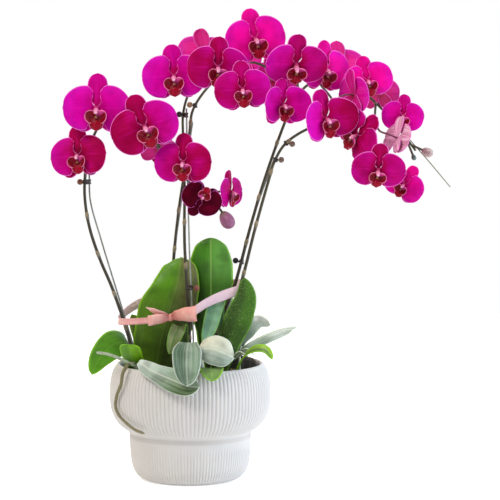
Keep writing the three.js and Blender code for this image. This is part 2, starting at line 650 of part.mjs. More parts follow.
// Two aerial roots from one crown: one reaches out to the left, one creeps down the outside of the pot.
const ROOTS = {
  radius: 2.4,
  reaching: [
    [-64, -46, 132], [-67, -52, 150], [-74, -58, 165], [-84, -66, 172], [-101, -66, 180], [-114, -61, 183.5],
    [-128, -55, 184.5],
  ],
  creeping: [
    [-76, -56, 170], [-84, -68, 169], [-90.5, -76, 158], [-93, -75, 143], [-99.5, -64, 126],
    [-101.4, -60, 109], [-96.7, -65, 99], [-86.4, -75, 90], [-73, -87, 82],
  ],
};
const rootTube = (points, steps, extra, trim) =>
  solidOf(
    taperedTube(new THREE.CatmullRomCurve3(points.map(vector)), ROOTS.radius + extra, 2 + extra, 5, steps, trim),
  );
const roots = [rootTube(ROOTS.reaching, 7, 0, HOLE_DEPTH), rootTube(ROOTS.creeping, 10, 0)];
addPart("aerial_roots", union(roots), COLOURS.root, 0.7);

// The ribbon: a band once round all the stems, and a bow with two loops and a tail in front.
function band(points, width, stations, tilt = 0) {
  const curve = new THREE.CatmullRomCurve3(points.map(vector));
  const place = (u, v) => {
    const t = Math.min(1, Math.max(0, u));
    const along = curve.getTangentAt(t);
    const up = new THREE.Vector3(0, tilt, 1);
    up.addScaledVector(along, -up.dot(along)).normalize();
    return curve.getPointAt(t).addScaledVector(up, (v * width) / 2).addScaledVector(along, (u - t) * 100);
  };
  return solidOf(blade(place, [...Array(stations + 1)].map((_, i) => i / stations), 1, RIBBON.thickness));
}

const BAND_ROUTE = [
  [-27, -48, 233], [-58, -38, 227], [-84, -25, 224], [-99, -11, 223], [-99, 4, 226], [-72, 34, 244],
  [-26, 49, 256], [20, 46, 264], [52, 35, 270], [73, 13, 273], [76, -3, 271], [69, -13, 267], [49, -22, 261],
  [24, -34, 251], [1, -46, 238], [-26, -49, 233],
];
const ribbonPieces = [
  band(BAND_ROUTE, RIBBON.width, 22),
  band([[-26, -50, 233], [-38, -59, 233], [-51, -64, 231], [-54, -59, 229], [-42, -54, 229], [-26, -50, 231]], 10, 5, -0.5),
  band([[-26, -50, 233], [-16, -59, 236], [2, -68, 239], [8, -62, 239], [-6, -54, 236], [-26, -50, 231]], 18, 6, -0.5),
  band([[-26, -51, 233], [-42, -58, 247], [-58, -62, 251]], 8, 2, -0.5),
];
const knot = new THREE.SphereGeometry(1, 6, 4);
knot.scale(6, 4, 6);
knot.translate(-26, -50, 233);
addPart("ribbon", union([...ribbonPieces, solidOf(knot)]), COLOURS.ribbon, 0.4);

// The pot: radius, height and share of the ribs' depth, from the foot up the outside to the rim's inner edge.
const POT_PROFILE = [
  [POT.footRadius, 0, 0],
  [POT.footRadius + 9, 4, 0.6],
  [POT.drumRadius - 2, 22, 1],
  [POT.drumRadius, POT.drumTop - 8, 1],
  [POT.drumRadius + 1, POT.drumTop + 6, 0],
  [POT.drumRadius + 8, POT.drumTop + 9, 0],
  [POT.bowlRadius - 8, 84, 1],
  [POT.bowlRadius - 0.7, 105, 1],
  [POT.bowlRadius - 0.7, 140, 1],
  [POT.rimRadius + 2, POT.height - 4, 0.8],
  [POT.rimRadius, POT.height, 0],
];

function ribbedShell() {
  const turns = POT.ribs * 2;
  const positions = [];
  const index = [];
  for (const [radius, z, share] of POT_PROFILE) {
    for (let i = 0; i < turns; i++) {
      const angle = (i / turns) * 2 * Math.PI;
      const reach = radius + (i % 2 ? -0.5 : 0.5) * POT.ribDepth * share;
      positions.push(reach * Math.cos(angle), reach * Math.sin(angle), z);
    }
  }
  for (let k = 0; k < POT_PROFILE.length - 1; k++) {
    for (let i = 0; i < turns; i++) {
      const [a, b] = [k * turns + i, k * turns + ((i + 1) % turns)];
      index.push(a, b, b + turns, a, b + turns, a + turns);
    }
  }
  const top = (POT_PROFILE.length - 1) * turns;
  for (let i = 1; i < turns - 1; i++) {
    index.push(0, i + 1, i);
    index.push(top, top + i, top + i + 1);
  }
  const geometry = new THREE.BufferGeometry();
  geometry.setAttribute("position", new THREE.Float32BufferAttribute(positions, 3));
  geometry.setIndex(index);
  return geometry;
}

function turned(profile, segments) {
  const geometry = new THREE.LatheGeometry(profile.map(([r, z]) => new THREE.Vector2(r, z)), segments);
  geometry.rotateX(Math.PI / 2);
  return solidOf(geometry);
}

const cavity = turned(
  [
    [0, POT.floor], [POT.footRadius + 6, POT.floor], [POT.drumRadius - POT.wall - 2, 24],
    [POT.drumRadius - POT.wall, POT.drumTop + 4], [POT.bowlRadius - POT.wall - 8, 86],
    [POT.bowlRadius - POT.wall, 108], [POT.bowlRadius - POT.wall, 138], [POT.rimRadius - POT.wall, POT.height - 2],
    [POT.rimRadius - 4, POT.height + 1], [0, POT.height + 1],
  ],
  LINER.segments,
);
addPart("pot", solidOf(ribbedShell()).subtract(cavity), COLOURS.glaze, 0.75);

// The dark liner that holds the growing medium, standing on the pot's floor.
const linerFloor = POT.floor + GAP;
const liner = turned(
  [
    [0, linerFloor], [LINER.footRadius, linerFloor], [LINER.topRadius, LINER.top],
    [LINER.topRadius - LINER.wall, LINER.top], [LINER.footRadius - LINER.wall, linerFloor + 2], [0, linerFloor + 2],
  ],
  LINER.segments,
);
addPart("liner", liner, COLOURS.liner);

// The growing medium, with a plain hole for each stem, stake, leaf and root.
const soilFoot = linerFloor + 2 + GAP;
const linerSlope = (LINER.topRadius - LINER.footRadius) / (LINER.top - linerFloor);
const soilRadius = (z) => LINER.footRadius + linerSlope * (z - linerFloor) - LINER.wall - GAP - 0.3;
const medium = turned(
  [
    [0, soilFoot], [soilRadius(soilFoot), soilFoot], [soilRadius(SOIL_TOP - 5), SOIL_TOP - 5],
    [soilRadius(SOIL_TOP) - 8, SOIL_TOP - 1], [60, SOIL_TOP - 3], [35, SOIL_TOP + 2], [0, SOIL_TOP],
  ],
  LINER.segments,
);
const wells = [
  ...Object.keys(SPIKES).map((name) => solidOf(stemTube(name, GAP))),
  ...Object.keys(STAKES).map((name) => solidOf(stakeTube(name, GAP))),
  ...LEAVES.map((leaf) => leafSolid(leaf, GAP, LEAF_ACROSS, 0.02)),
  sprigStem(GAP),
  rootTube(ROOTS.reaching, 7, GAP),
];
addPart("growing_medium", medium.subtract(union(wells)), COLOURS.bark, 0.95);

export default plant;
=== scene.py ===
"""The looks of a potted moth orchid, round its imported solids. Shapes are in mm and pieces in metres."""

import bisect
import math
import random
from collections import namedtuple

import bmesh
import bpy
from mathutils import Matrix, Vector, noise


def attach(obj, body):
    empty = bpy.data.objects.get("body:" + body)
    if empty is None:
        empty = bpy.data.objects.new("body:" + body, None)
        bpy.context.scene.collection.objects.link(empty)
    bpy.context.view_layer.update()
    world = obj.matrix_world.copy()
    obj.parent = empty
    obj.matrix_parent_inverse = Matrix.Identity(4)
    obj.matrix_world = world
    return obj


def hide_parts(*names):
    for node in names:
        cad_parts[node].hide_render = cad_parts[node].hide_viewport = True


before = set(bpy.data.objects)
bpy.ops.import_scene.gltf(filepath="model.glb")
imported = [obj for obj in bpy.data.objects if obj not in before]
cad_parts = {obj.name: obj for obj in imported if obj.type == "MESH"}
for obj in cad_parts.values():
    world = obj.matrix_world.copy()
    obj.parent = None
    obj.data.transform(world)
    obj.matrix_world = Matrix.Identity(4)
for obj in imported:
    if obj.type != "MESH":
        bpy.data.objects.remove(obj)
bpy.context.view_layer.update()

MM = 0.001
FULL_TURN = 2 * math.pi
scene = bpy.context.scene
radians = math.radians


# Camera.
IMAGE_WIDTH = 500
FOCAL_PIXELS = 2149.6
CAMERA_AT = Vector((0.084, -3.0, 0.56))
CAMERA_TO = Vector((0.084, 0.0, 0.322))

camera = bpy.data.objects.new("camera", bpy.data.cameras.new("camera"))
scene.collection.objects.link(camera)
camera.data.sensor_width = 36
camera.data.lens = camera.data.sensor_width * FOCAL_PIXELS / IMAGE_WIDTH
camera.location = CAMERA_AT
camera.rotation_euler = (CAMERA_TO - CAMERA_AT).to_track_quat("-Z", "Y").to_euler()
scene.camera = camera
scene.view_settings.view_transform = "Standard"


# Small tools.
def linear(colour):
    """An sRGB hex value as the linear colour that the shaders mix."""
    parts = [int(colour[i : i + 2], 16) / 255 for i in (0, 2, 4)]
    return Vector([*[c / 12.92 if c <= 0.04045 else ((c + 0.055) / 1.055) ** 2.4 for c in parts], 1.0])


def clamped(value):
    return min(max(value, 0), 1)


def smooth(low, high, value):
    """0 below low, 1 above high, and an even rise between."""
    share = clamped((value - low) / (high - low))
    return share * share * (3 - 2 * share)


def eased(share):
    """Evenly spaced shares drawn closer to both ends, where outlines turn."""
    return (1 - math.cos(math.pi * share)) / 2


def stepped(values, share):
    """A smooth run through values that are evenly spaced along a shape."""
    place = clamped(share) * (len(values) - 1)
    k = min(int(place), len(values) - 2)
    return values[k] + (values[k + 1] - values[k]) * smooth(0, 1, place - k)


def at_share(value, share):
    """What holds at a share of the way along: a number or hex colour as it is, or what a function gives."""
    if callable(value):
        return value(share)
    return linear(value) if isinstance(value, str) else value


def across(way, along):
    """The part of a direction that is square to a line."""
    return (way - along * way.dot(along)).normalized()


class Route:
    """A smooth line through points: the centripetal line that the solids are built on."""

    PARTS = 200

    def __init__(self, points):
        spots = [Vector(point) for point in points]
        self.spans = len(spots) - 1
        self.ends = [2 * spots[0] - spots[1], *spots, 2 * spots[-1] - spots[-2]]
        fine = [self.spot(k / self.PARTS) for k in range(self.PARTS + 1)]
        self.reach = [0.0]
        for near, far in zip(fine, fine[1:]):
            self.reach.append(self.reach[-1] + (far - near).length)

    def spot(self, share):
        place = clamped(share) * self.spans
        k = min(int(place), self.spans - 1)
        before, start, end, after = self.ends[k : k + 4]
        pairs = ((before, start), (start, end), (end, after))
        first, middle, last = [max((b - a).length, 1e-4) ** 0.5 for a, b in pairs]
        leave = ((start - before) / first - (end - before) / (first + middle)) * middle + (end - start)
        arrive = (end - start) + ((after - end) / last - (after - start) / (middle + last)) * middle
        rest = place - k
        bend, twist = 3 * (end - start) - 2 * leave - arrive, 2 * (start - end) + leave + arrive
        return start + leave * rest + bend * rest**2 + twist * rest**3

    def along(self, share):
        near, far = max(share - 1e-3, 0), min(share + 1e-3, 1)
        return (self.spot(far) - self.spot(near)).normalized()

    def spot_at(self, share):
        """The spot that is the given share of the length along."""
        wanted = clamped(share) * self.reach[-1]
        k = min(max(bisect.bisect_left(self.reach, wanted), 1), self.PARTS)
        span = self.reach[k] - self.reach[k - 1]
        return self.spot((k - 1 + (wanted - self.reach[k - 1]) / max(span, 1e-9)) / self.PARTS)

    def spots(self, count):
        """The ends of so many equal lengths."""
        return [self.spot_at(k / count) for k in range(count + 1)]

    def at_height(self, z):
        return min(self.spots(500), key=lambda spot: abs(spot.z - z))


def joined(parts, links):
    """The edges, faces or corners that touch any of the parts, each once and in order."""
    return list(dict.fromkeys(link for part in parts for link in getattr(part, links)))


def only(parts, kind):
    """The corners, edges or faces among the parts that an operator returns."""
    return [part for part in parts if isinstance(part, getattr(bmesh.types, kind))]


def new_mesh():
    """An empty mesh with what the markings follow: mm to the outline, mm to the midline, and a tint."""
    bm = bmesh.new()
    bm.loops.layers.uv.new("place")
    bm.verts.layers.float.new("edge")
    bm.verts.layers.float.new("mid")
    bm.verts.layers.float_color.new("tint")
    return bm


def thicken(bm, sheet, wall, slots):
    """Gives a sheet its thickness: the extruded copy stays as its front, and the first one moves back."""
    for face in sheet:
        face.normal_update()
    corners = joined(sheet, "verts")
    ways = []
    for vert in corners:
        vert.normal_update()
        ways.append(vert.normal.copy())
    front = only(bmesh.ops.extrude_face_region(bm, geom=sheet)["geom"], "BMFace")
    for vert, way in zip(corners, ways):
        vert.co -= way * wall
    back = set(sheet)
    rim = [face for face in joined(corners, "link_faces") if face not in back]
    for faces, slot in ((front + rim, slots[0]), (sheet, slots[1])):
        for face in faces:
            face.material_index = slot
    bmesh.ops.recalc_face_normals(bm, faces=front + rim + sheet)


def add_sheet(bm, rows, columns, wall, place, half, tint, slots=(0, 0)):
    """Adds a blade with its front on place(u, v), u from 0 at the foot to 1 at the tip, v from -1 to 1."""
    layers = bm.verts.layers
    edge, mid, colour = layers.float["edge"], layers.float["mid"], layers.float_color["tint"]
    corners = bmesh.ops.create_grid(bm, x_segments=rows, y_segments=columns, size=1, calc_uvs=True)["verts"]
    for corner in corners:
        u, v = (corner.co.x + 1) / 2, corner.co.y
        corner[edge], corner[mid] = half(u) * (1 - abs(v)), half(u) * abs(v)
        corner[colour] = tint(u, v)
        corner.co = place(u, v)
    bmesh.ops.remove_doubles(bm, verts=corners, dist=0.0005)
    thicken(bm, joined([corner for corner in corners if corner.is_valid], "link_faces"), wall, slots)


def add_tube(bm, line, radius, tint, sides=10, slot=0):
    """Adds a closed tube along a line of points. radius and tint may be functions of the share along."""
    colour = bm.verts.layers.float_color["tint"]
    last = len(line) - 1
    side = (line[1] - line[0]).orthogonal().normalized()
    frames = []
    for k, spot in enumerate(line):
        along = (line[min(k + 1, last)] - line[max(k - 1, 0)]).normalized()
        side = across(side, along)
        turn = Matrix((side, along.cross(side), along)).transposed().to_4x4()
        frames.append(Matrix.Translation(spot) @ turn @ Matrix.Scale(at_share(radius, k / last), 4))
    ring = bmesh.ops.create_circle(bm, cap_ends=True, radius=1, segments=sides, matrix=frames[0])["verts"]
    edges, whole = joined(ring, "link_edges"), []
    for k in range(last + 1):
        if k:
            grown = bmesh.ops.extrude_edge_only(bm, edges=edges)["geom"]
            edges, ring = only(grown, "BMEdge"), only(grown, "BMVert")
            bmesh.ops.transform(bm, matrix=frames[k] @ frames[k - 1].inverted(), verts=ring)
        tone = at_share(tint, k / last)
        for vert in ring:
            vert[colour] = tone
        whole += ring
    bmesh.ops.edgeloop_fill(bm, edges=edges)
    faces = joined(whole, "link_faces")
    for face in faces:
        face.material_index = slot
    bmesh.ops.recalc_face_normals(bm, faces=faces)


def add_ball(bm, at, size, tone, slot=0, detail=2):
    """Adds a small round lump, as wide each way as its size says."""
    matrix = Matrix.Translation(at) @ Matrix.Diagonal((*[width / 2 for width in size], 1))
    verts = bmesh.ops.create_icosphere(bm, subdivisions=detail, radius=1, matrix=matrix)["verts"]
    for vert in verts:
        vert[bm.verts.layers.float_color["tint"]] = linear(tone)
    for face in joined(verts, "link_faces"):
        face.material_index = slot


def turn_round(bm, chain, steps, cuts=0):
    """Turns a chain of corners, the only ones so far, round the pot's axis into a closed shell."""
    edges = [bm.edges.new(pair) for pair in zip(chain, chain[1:])]
    if cuts:
        bmesh.ops.subdivide_edges(bm, edges=edges, cuts=cuts)
    turning = {"angle": FULL_TURN, "steps": steps, "axis": (0, 0, 1), "cent": (0, 0, 0), "use_merge": True}
    bmesh.ops.spin(bm, geom=bm.verts[:] + bm.edges[:], **turning)
    bmesh.ops.remove_doubles(bm, verts=bm.verts, dist=0.01)
    bmesh.ops.recalc_face_normals(bm, faces=bm.faces)


def make_piece(name, bm, materials, slot, *nodes):
    """Turns a mesh in millimetres into a piece in metres that rides on the plant's one body."""
    bmesh.ops.scale(bm, vec=(MM, MM, MM), verts=bm.verts)
    mesh = bpy.data.meshes.new(name)
    bm.to_mesh(mesh)
    bm.free()
    for material in materials:
        mesh.materials.append(material)
    mesh.shade_smooth()
    piece = bpy.data.objects.new(name, mesh)
    scene.collection.objects.link(piece)
    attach(piece, "root")
    if nodes:
        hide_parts(*nodes)
    return piece


# Materials.
def add_node(tree, kind, inputs=None, **settings):
    """Adds a node. An input takes a link where it is given a socket, and a plain value otherwise."""
    made = tree.nodes.new("ShaderNode" + kind)
    for name, value in settings.items():
        setattr(made, name, value)
    for name, value in (inputs or {}).items():
        if isinstance(value, bpy.types.NodeSocket):
            tree.links.new(value, made.inputs[name])
        else:
            made.inputs[name].default_value = value
    return made


def new_material(name, **surface):
    """A material whose shader sockets hold what is the same all over. Underscores stand for spaces."""
    material = bpy.data.materials.new(name)
    material.use_nodes = True
    shader = material.node_tree.nodes["Principled BSDF"]
    for socket, value in surface.items():
        shader.inputs[socket.replace("_", " ")].default_value = value
    return material, material.node_tree


def finish(colour, height, depth_mm, strength=1.0):
    """Gives the shader its colour, and its normal a relief of the given depth."""
    tree = colour.id_data
    shader = tree.nodes["Principled BSDF"]
    tree.links.new(colour, shader.inputs["Base Color"])
    bump = add_node(tree, "Bump", {"Height": height, "Distance": depth_mm * MM, "Strength": strength})
    tree.links.new(bump.outputs[0], shader.inputs["Normal"])


def rise(value, low, high, bottom=0.0, top=1.0):
    """A smooth rise from bottom to top as a value goes from low to high."""
    inputs = {"Value": value, "From Min": low, "From Max": high, "To Min": bottom, "To Max": top}
    return add_node(value.id_data, "MapRange", inputs, interpolation_type="SMOOTHSTEP").outputs[0]


def laid(colour, share, over):
    """A colour with another laid over it by a share. Both are sockets or sRGB hex values."""
    inputs = {0: share}
    for place, tone in ((6, colour), (7, over)):
        inputs[place] = linear(tone) if isinstance(tone, str) else tone
    return add_node(share.id_data, "Mix", inputs, data_type="RGBA").outputs[2]


def coat(colour, pattern, low, high, share, over):
    """A colour with another laid over it where a pattern rises from low to high, by a share at most."""
    return laid(colour, rise(pattern, low, high, 0.0, share), over)


def read(tree, name, output="Fac"):
    """One of the mesh's own attributes."""
    return add_node(tree, "Attribute", attribute_name=name).outputs[output]


def streaks(tree, across, along, detail=2.0):
    """Fine uneven lines that run from foot to tip on the piece's own map."""
    place = add_node(tree, "UVMap", uv_map="place").outputs[0]
    spread = add_node(tree, "Mapping", {"Vector": place, "Scale": (along, across, 1)}).outputs[0]
    return add_node(tree, "TexNoise", {"Vector": spread, "Scale": 1.0, "Detail": detail}).outputs["Fac"]


def lumps(tree, size_mm, detail=2.0):
    """Soft noise on the object's own coordinates, with lumps of the given size."""
    place = add_node(tree, "TexCoord").outputs["Object"]
    inputs = {"Vector": place, "Scale": 1 / (size_mm * MM), "Detail": detail}
    return add_node(tree, "TexNoise", inputs).outputs["Fac"]


def petal_material(name, behind):
    """Living petal: a velvety skin over fanning veins, with painted light at its very edge, and washed out
    behind.
    """
    material, tree = new_material(name, Roughness=0.55, IOR=1.36, Specular_IOR_Level=0.05)
    colour = read(tree, "tint", "Color")
    veins = streaks(tree, 90, 1.3, 3.0)
    if behind:
        # The tint's alpha says how pale a flower is behind: pale ones have dark stripes, others pale ones.
        pale = read(tree, "tint", "Alpha")
        colour = laid(colour, pale, "f6cfe4")
        contrast = coat("f58ad6", pale, 0.6, 0.8, 1.0, "b01c74")
        colour = coat(colour, streaks(tree, 22, 0.7), 0.42, 0.6, rise(pale, 0.0, 0.3, 0.08, 0.6), contrast)
    else:
        # The veins show on bright flowers, and hardly on the darkest ones.
        red = add_node(tree, "SeparateColor", {0: colour}).outputs[0]
        colour = coat(colour, veins, 0.42, 0.68, rise(red, 0.1, 0.5, 0.0, 0.3), "f21cba")
        colour = coat(colour, lumps(tree, 12), 0.35, 0.75, 0.22, "6a0038")
    # The pale rim is painted light shining through the thin edge. It is about half a millimetre wide,
    # and drawn three times as wide so that it shows.
    place = add_node(tree, "SeparateXYZ", {0: add_node(tree, "UVMap", uv_map="place").outputs[0]})
    outer = rise(place.outputs[0], 0.1, 0.4, 0.3, 0.9)
    colour = coat(colour, read(tree, "edge"), 1.5, 0.4, outer, "f77ae0")
    finish(colour, veins, 0.15, 0.5)
    return material


def lip_material():
    """Waxy flesh of the lip: deep crimson with darker spots near the callus and a pale pink outline."""
    material, tree = new_material("lip_waxy_flesh", Roughness=0.4, IOR=1.4, Specular_IOR_Level=0.15)
    place = add_node(tree, "TexCoord").outputs["Object"]
    spots = add_node(tree, "TexVoronoi", {"Vector": place, "Scale": 600.0}).outputs["Distance"]
    colour = coat(read(tree, "tint", "Color"), spots, 0.45, 0.2, 0.35, "4a0010")
    colour = coat(colour, streaks(tree, 14, 1.5), 0.56, 0.64, 0.13, "e58ab2")
    colour = coat(colour, read(tree, "edge"), 1.2, 0.4, 0.8, "f58ab8")
    finish(colour, lumps(tree, 1.5), 0.2, 0.4)
    return material


def tinted_material(name, roughness, size_mm, dark, depth_mm):
    """A finish that takes its colour from the mesh's tint, with soft darker lumps and a fine relief."""
    material, tree = new_material(name, Roughness=roughness)
    grain = lumps(tree, size_mm, 4.0)
    finish(coat(read(tree, "tint", "Color"), grain, 0.4, 0.75, 0.45, dark), grain, depth_mm)
    return material


def leaf_material(name, roughness, rim, rim_mm, rim_share, vein, vein_share, rib, speckle=0.0):
    """Leaf skin: parallel veins, a pale rim, and a rib that is as clear as the tint's alpha."""
    material, tree = new_material(name, Roughness=roughness, IOR=1.45, Specular_IOR_Level=0.35)
    veins = streaks(tree, 40, 1.0, 3.0)
    colour = coat(read(tree, "tint", "Color"), veins, 0.4, 0.7, vein_share, vein)
    colour = coat(colour, lumps(tree, 20), 0.35, 0.75, 0.4, "1c3009")
    if speckle:
        colour = coat(colour, lumps(tree, 1.6), 0.58, 0.7, speckle, "9fb36a")
    colour = coat(colour, read(tree, "mid"), 1.7, 0.3, read(tree, "tint", "Alpha"), rib)
    colour = coat(colour, read(tree, "edge"), rim_mm, 0.3, rim_share, rim)
    finish(colour, veins, 0.4, 0.5)
    return material


def ribbon_material():
    """Satin ribbon, woven: fine ribs across it and a soft directional sheen."""
    material, tree = new_material("woven_satin_ribbon", Roughness=0.38, Sheen_Weight=0.25, Anisotropic=0.4)
    # A satin thread is about 0.1 mm; the ribs are drawn at a fifth of a millimetre so that they show.
    inputs = {"Vector": add_node(tree, "UVMap", uv_map="place").outputs[0], "Scale": 12.0, "Distortion": 0.6}
    weave = add_node(tree, "TexWave", inputs, bands_direction="Y").outputs["Fac"]
    colour = coat(read(tree, "tint", "Color"), weave, 0.2, 0.9, 0.2, "cf8886")
    finish(coat(colour, lumps(tree, 9), 0.45, 0.8, 0.35, "fbe3dd"), weave, 0.05)
    return material


def glaze_material():
    """Stoneware under a matte white glaze: eggshell surface, with painted shade, a little warmer and darker,
    in the grooves and the neck.
    """
    material, tree = new_material("matte_white_glaze", Roughness=0.55, IOR=1.5)
    colour = coat("d6d5d2", lumps(tree, 35), 0.3, 0.75, 0.5, "cfcecb")
    # Painted shade, warmer and darker, in the flutes' grooves and the neck under the bowl.
    colour = coat(colour, read(tree, "edge"), 0.9, 0.0, 0.35, "aaa59d")
    colour = coat(colour, lumps(tree, 1.1), 0.72, 0.8, 0.25, "b9b3a8")
    finish(colour, lumps(tree, 0.9), 0.03)
    return material


def liner_material():
    """Thin blow-moulded polyethylene, dark, with painted sheen in blue-grey over its soft crumples."""
    material, tree = new_material("dark_polyethylene_painted_sheen", Roughness=0.4, IOR=1.51)
    crumples_and_sheen = lumps(tree, 12, 5.0)
    # The blue-grey patches are painted sheen on the dark plastic.
    finish(coat("23282e", crumples_and_sheen, 0.45, 0.75, 0.5, "76838f"), crumples_and_sheen, 0.8)
    return material


petal_face = petal_material("petal_satin_face", False)
petal_back = petal_material("petal_pale_back", True)
lip_flesh = lip_material()
column_flesh = tinted_material("column_waxy_flesh", 0.35, 2.5, "c86090", 0.1)
stem_skin = tinted_material("flower_stem_skin", 0.45, 6, "2a2618", 0.15)
root_skin = tinted_material("aerial_root_velamen", 0.8, 3, "55503a", 0.35)
bud_skin = tinted_material("bud_skin", 0.5, 3, "5d3a4c", 0.1)
bark_chip = tinted_material("fir_bark_chip", 0.9, 4, "1d130c", 0.8)
moss_strand = tinted_material("sphagnum_strand", 0.95, 2, "7d6c46", 0.3)
stake_steel = tinted_material("painted_steel_wire", 0.35, 9, "3c4234", 0.05)
clip_plastic = tinted_material("moulded_clip_plastic", 0.4, 4, "17130f", 0.05)
green_leaf = leaf_material("leathery_green_leaf", 0.36, "92d418", 3.2, 0.7, "74a83c", 0.22, "a6cf6a")
dark_leaf = leaf_material("speckled_dark_leaf", 0.42, "6da82e", 3.0, 0.6, "557f34", 0.2, "4a7430", 0.5)
silver_leaf = leaf_material("powdery_silver_leaf", 0.62, "e3ede2", 1.6, 0.7, "dfe9dd", 0.35, "e4ecd8", 0.15)
cream_leaf = leaf_material("downy_cream_leaf", 0.66, "dbe6cf", 2.2, 0.8, "7f9a86", 0.55, "a9bd9c", 0.1)
ribbon_satin = ribbon_material()
white_glaze = glaze_material()
dark_plastic = liner_material()


# Flowers. In a flower's own frame +Z is the way it faces and +Y is up to its dorsal sepal.
Tepal = namedtuple("Tepal", "angle length half shift power lift lean arch lobe")
TEPALS = [
    Tepal(-1, 43.5, 29, 0.74, 2.3, 2, 2, 0.05, 8),
    Tepal(90, 43, 13.5, 1.5, 2.1, -1.2, -4, 0.03, 0),
    Tepal(181, 43.5, 29, 0.74, 2.3, 2, 2, 0.05, -8),
    Tepal(228, 37.5, 12.5, 1.3, 2.1, -1.2, -6, 0.03, 0),
    Tepal(312, 37.5, 12.5, 1.3, 2.1, -1.2, -6, 0.03, 0),
]
FULL_WIDTH = 85
PETAL_WALL = 0.8
CLAW_HALF = 2.6
# How far from a petal's midline its upper lobe leans in, and where its top turns back.
LOBE_FROM, LOBE_TOP = (9, 20), (23, 29)
LIP_LINE = [(0, -2, 0.8), (0, -8, 3), (0, -13.5, 6), (0, -19, 8.4), (0, -24, 7.6), (0, -29.5, 5.4)]
LIP_HALF = [2.4, 3.6, 7.6, 10.2, 8.4, 4.8]
EAR_HALF = 8.4
MAGENTA, HOT_PINK, CRIMSON, SHADE_CRIMSON = linear("d800a2"), linear("fb0a9c"), linear("a2003c"), linear("300108")
LILAC = linear("cc1cc4")

# Spike, hub, turn to the right, look up, roll, width, then how crimson (past full crimson it is painted
# shade, going to near black), how hot, how much painted shade deepens its crimson to its right, how far its
# petals fold forward, and how pale it is behind.
BLOOM_FIELDS = "spike at yaw pitch roll width deep hot slant fold pale"
Bloom = namedtuple("Bloom", BLOOM_FIELDS, defaults=(0, 0, 0, 0, 0.35))
BLOOM_ROWS = [
    ("left", (-153, -35, 456), -15, 8, 8, 79, 0.78, 0, 0.35),
    ("left", (-126, -50, 521), -3, 0, 0, 91, 0.16, 0, 0.15),
    ("left", (-60, -60, 496), 3, 0, 22, 91, 0.75, 0, -0.5),
    ("left", (-42, 20, 461), 170, 10, 30, 62, 0.2, 0.5, 0, 0, 0.03),
    ("left", (-8, -50, 447), -6, 0, 0, 78, 0.75, 0, 0.25),
    # This flower faces down, so it is painted nearly black: painted shade.
    ("left", (17, -36, 396), 5, -10, 150, 56, 2.0),
    ("left", (57, -7, 404), 62, 0, 0, 60, 0.6, 0.0, 0, 0, 0.03),
    ("middle", (-20, -45, 565), -3, 0, 4, 84, 0.15, 0, 0.15),
    ("middle", (40, -60, 577), 8, -3, -3, 83, 0.72, 0, -0.25),
    ("middle", (20, 30, 597), 165, 25, 0, 76, 0.0, 0.9, 0, 0, 0.03),
    ("back", (74, -75, 547), 0, 0, 6, 75, 0.55, 0, -0.3),
    ("back", (91, -20, 616), 12, 0, 12, 84, 0.05, 0.8, 0.1),
    ("back", (67, 45, 591), 160, 0, 0, 70, 0.2, 0.6, 0, 0, 0.01),
    ("back", (115, 40, 559), 165, 0, 0, 76, 0.2, 0.5, 0, 0, 0.01),
    ("rightHigh", (147, -64, 581), 8, -28, 0, 84, 0.55, 0.1, 0.3),
    ("rightHigh", (129, -65, 526), 28, 0, 0, 70, 0.25, 0, 0.1, 25),
    ("rightHigh", (188, -22, 574), 35, 0, -5, 78, 0, 0.7),
    ("rightHigh", (208, 48, 577), 170, 15, 0, 76, 0, 0.7, 0, 0, 0.03),
    ("rightHigh", (247, -12, 559), 5, 0, 14, 68, 0, 0.95),
    ("rightHigh", (226, -41, 539), 122, 0, 0, 70, 0.1, 0.2, 0, 0, 0.0),
    ("rightHigh", (267, 46, 541), 150, 0, 0, 62, 0.35, 0.5, 0, 0, 0.04),
    ("rightHigh", (296, -15, 510), 0, 0, -5, 57, 0.2, 0.3),
    ("rightHigh", (286, -48, 480), 120, -20, 0, 60, 0.3, 0, 0, 0, 0.95),
    ("rightLow", (187, -72, 507), 28, 0, 12, 80, 0.45, 0, 0.8, 25),
    ("rightLow", (231, -63, 484), -45, 0, -50, 78, 0.75, 0, 0, 0, 0.2),
    ("rightLow", (257, -98, 439), 0, -20, -6, 72, 0.72),
    ("rightLow", (295, -64, 417), -20, 0, -30, 57, 0.15, 0.8),
]
BLOOMS = {f"bloom_{number:02d}": Bloom(*row) for number, row in enumerate(BLOOM_ROWS, 1)}
VIAS = {"bloom_20": [(196, 0, 536), (198, -30, 530)], "bloom_23": [(258, -6, 508), (262, -34, 490)]}


def fullness(u, shift, power):
    """How wide a petal is along its length: 0 at the ends and 1 at the widest."""
    return max(0.0, 1 - abs(2 * u**shift - 1) ** power) ** (1 / power)


def bloom_matrix(bloom):
    """From a flower's own frame to the plant's."""
    turn = Matrix.Rotation(radians(bloom.yaw), 4, "Z") @ Matrix.Rotation(radians(90 - bloom.pitch), 4, "X")
    roll = Matrix.Rotation(radians(bloom.roll), 4, "Z")
    return Matrix.Translation(bloom.at) @ turn @ roll @ Matrix.Scale(bloom.width / FULL_WIDTH, 4)


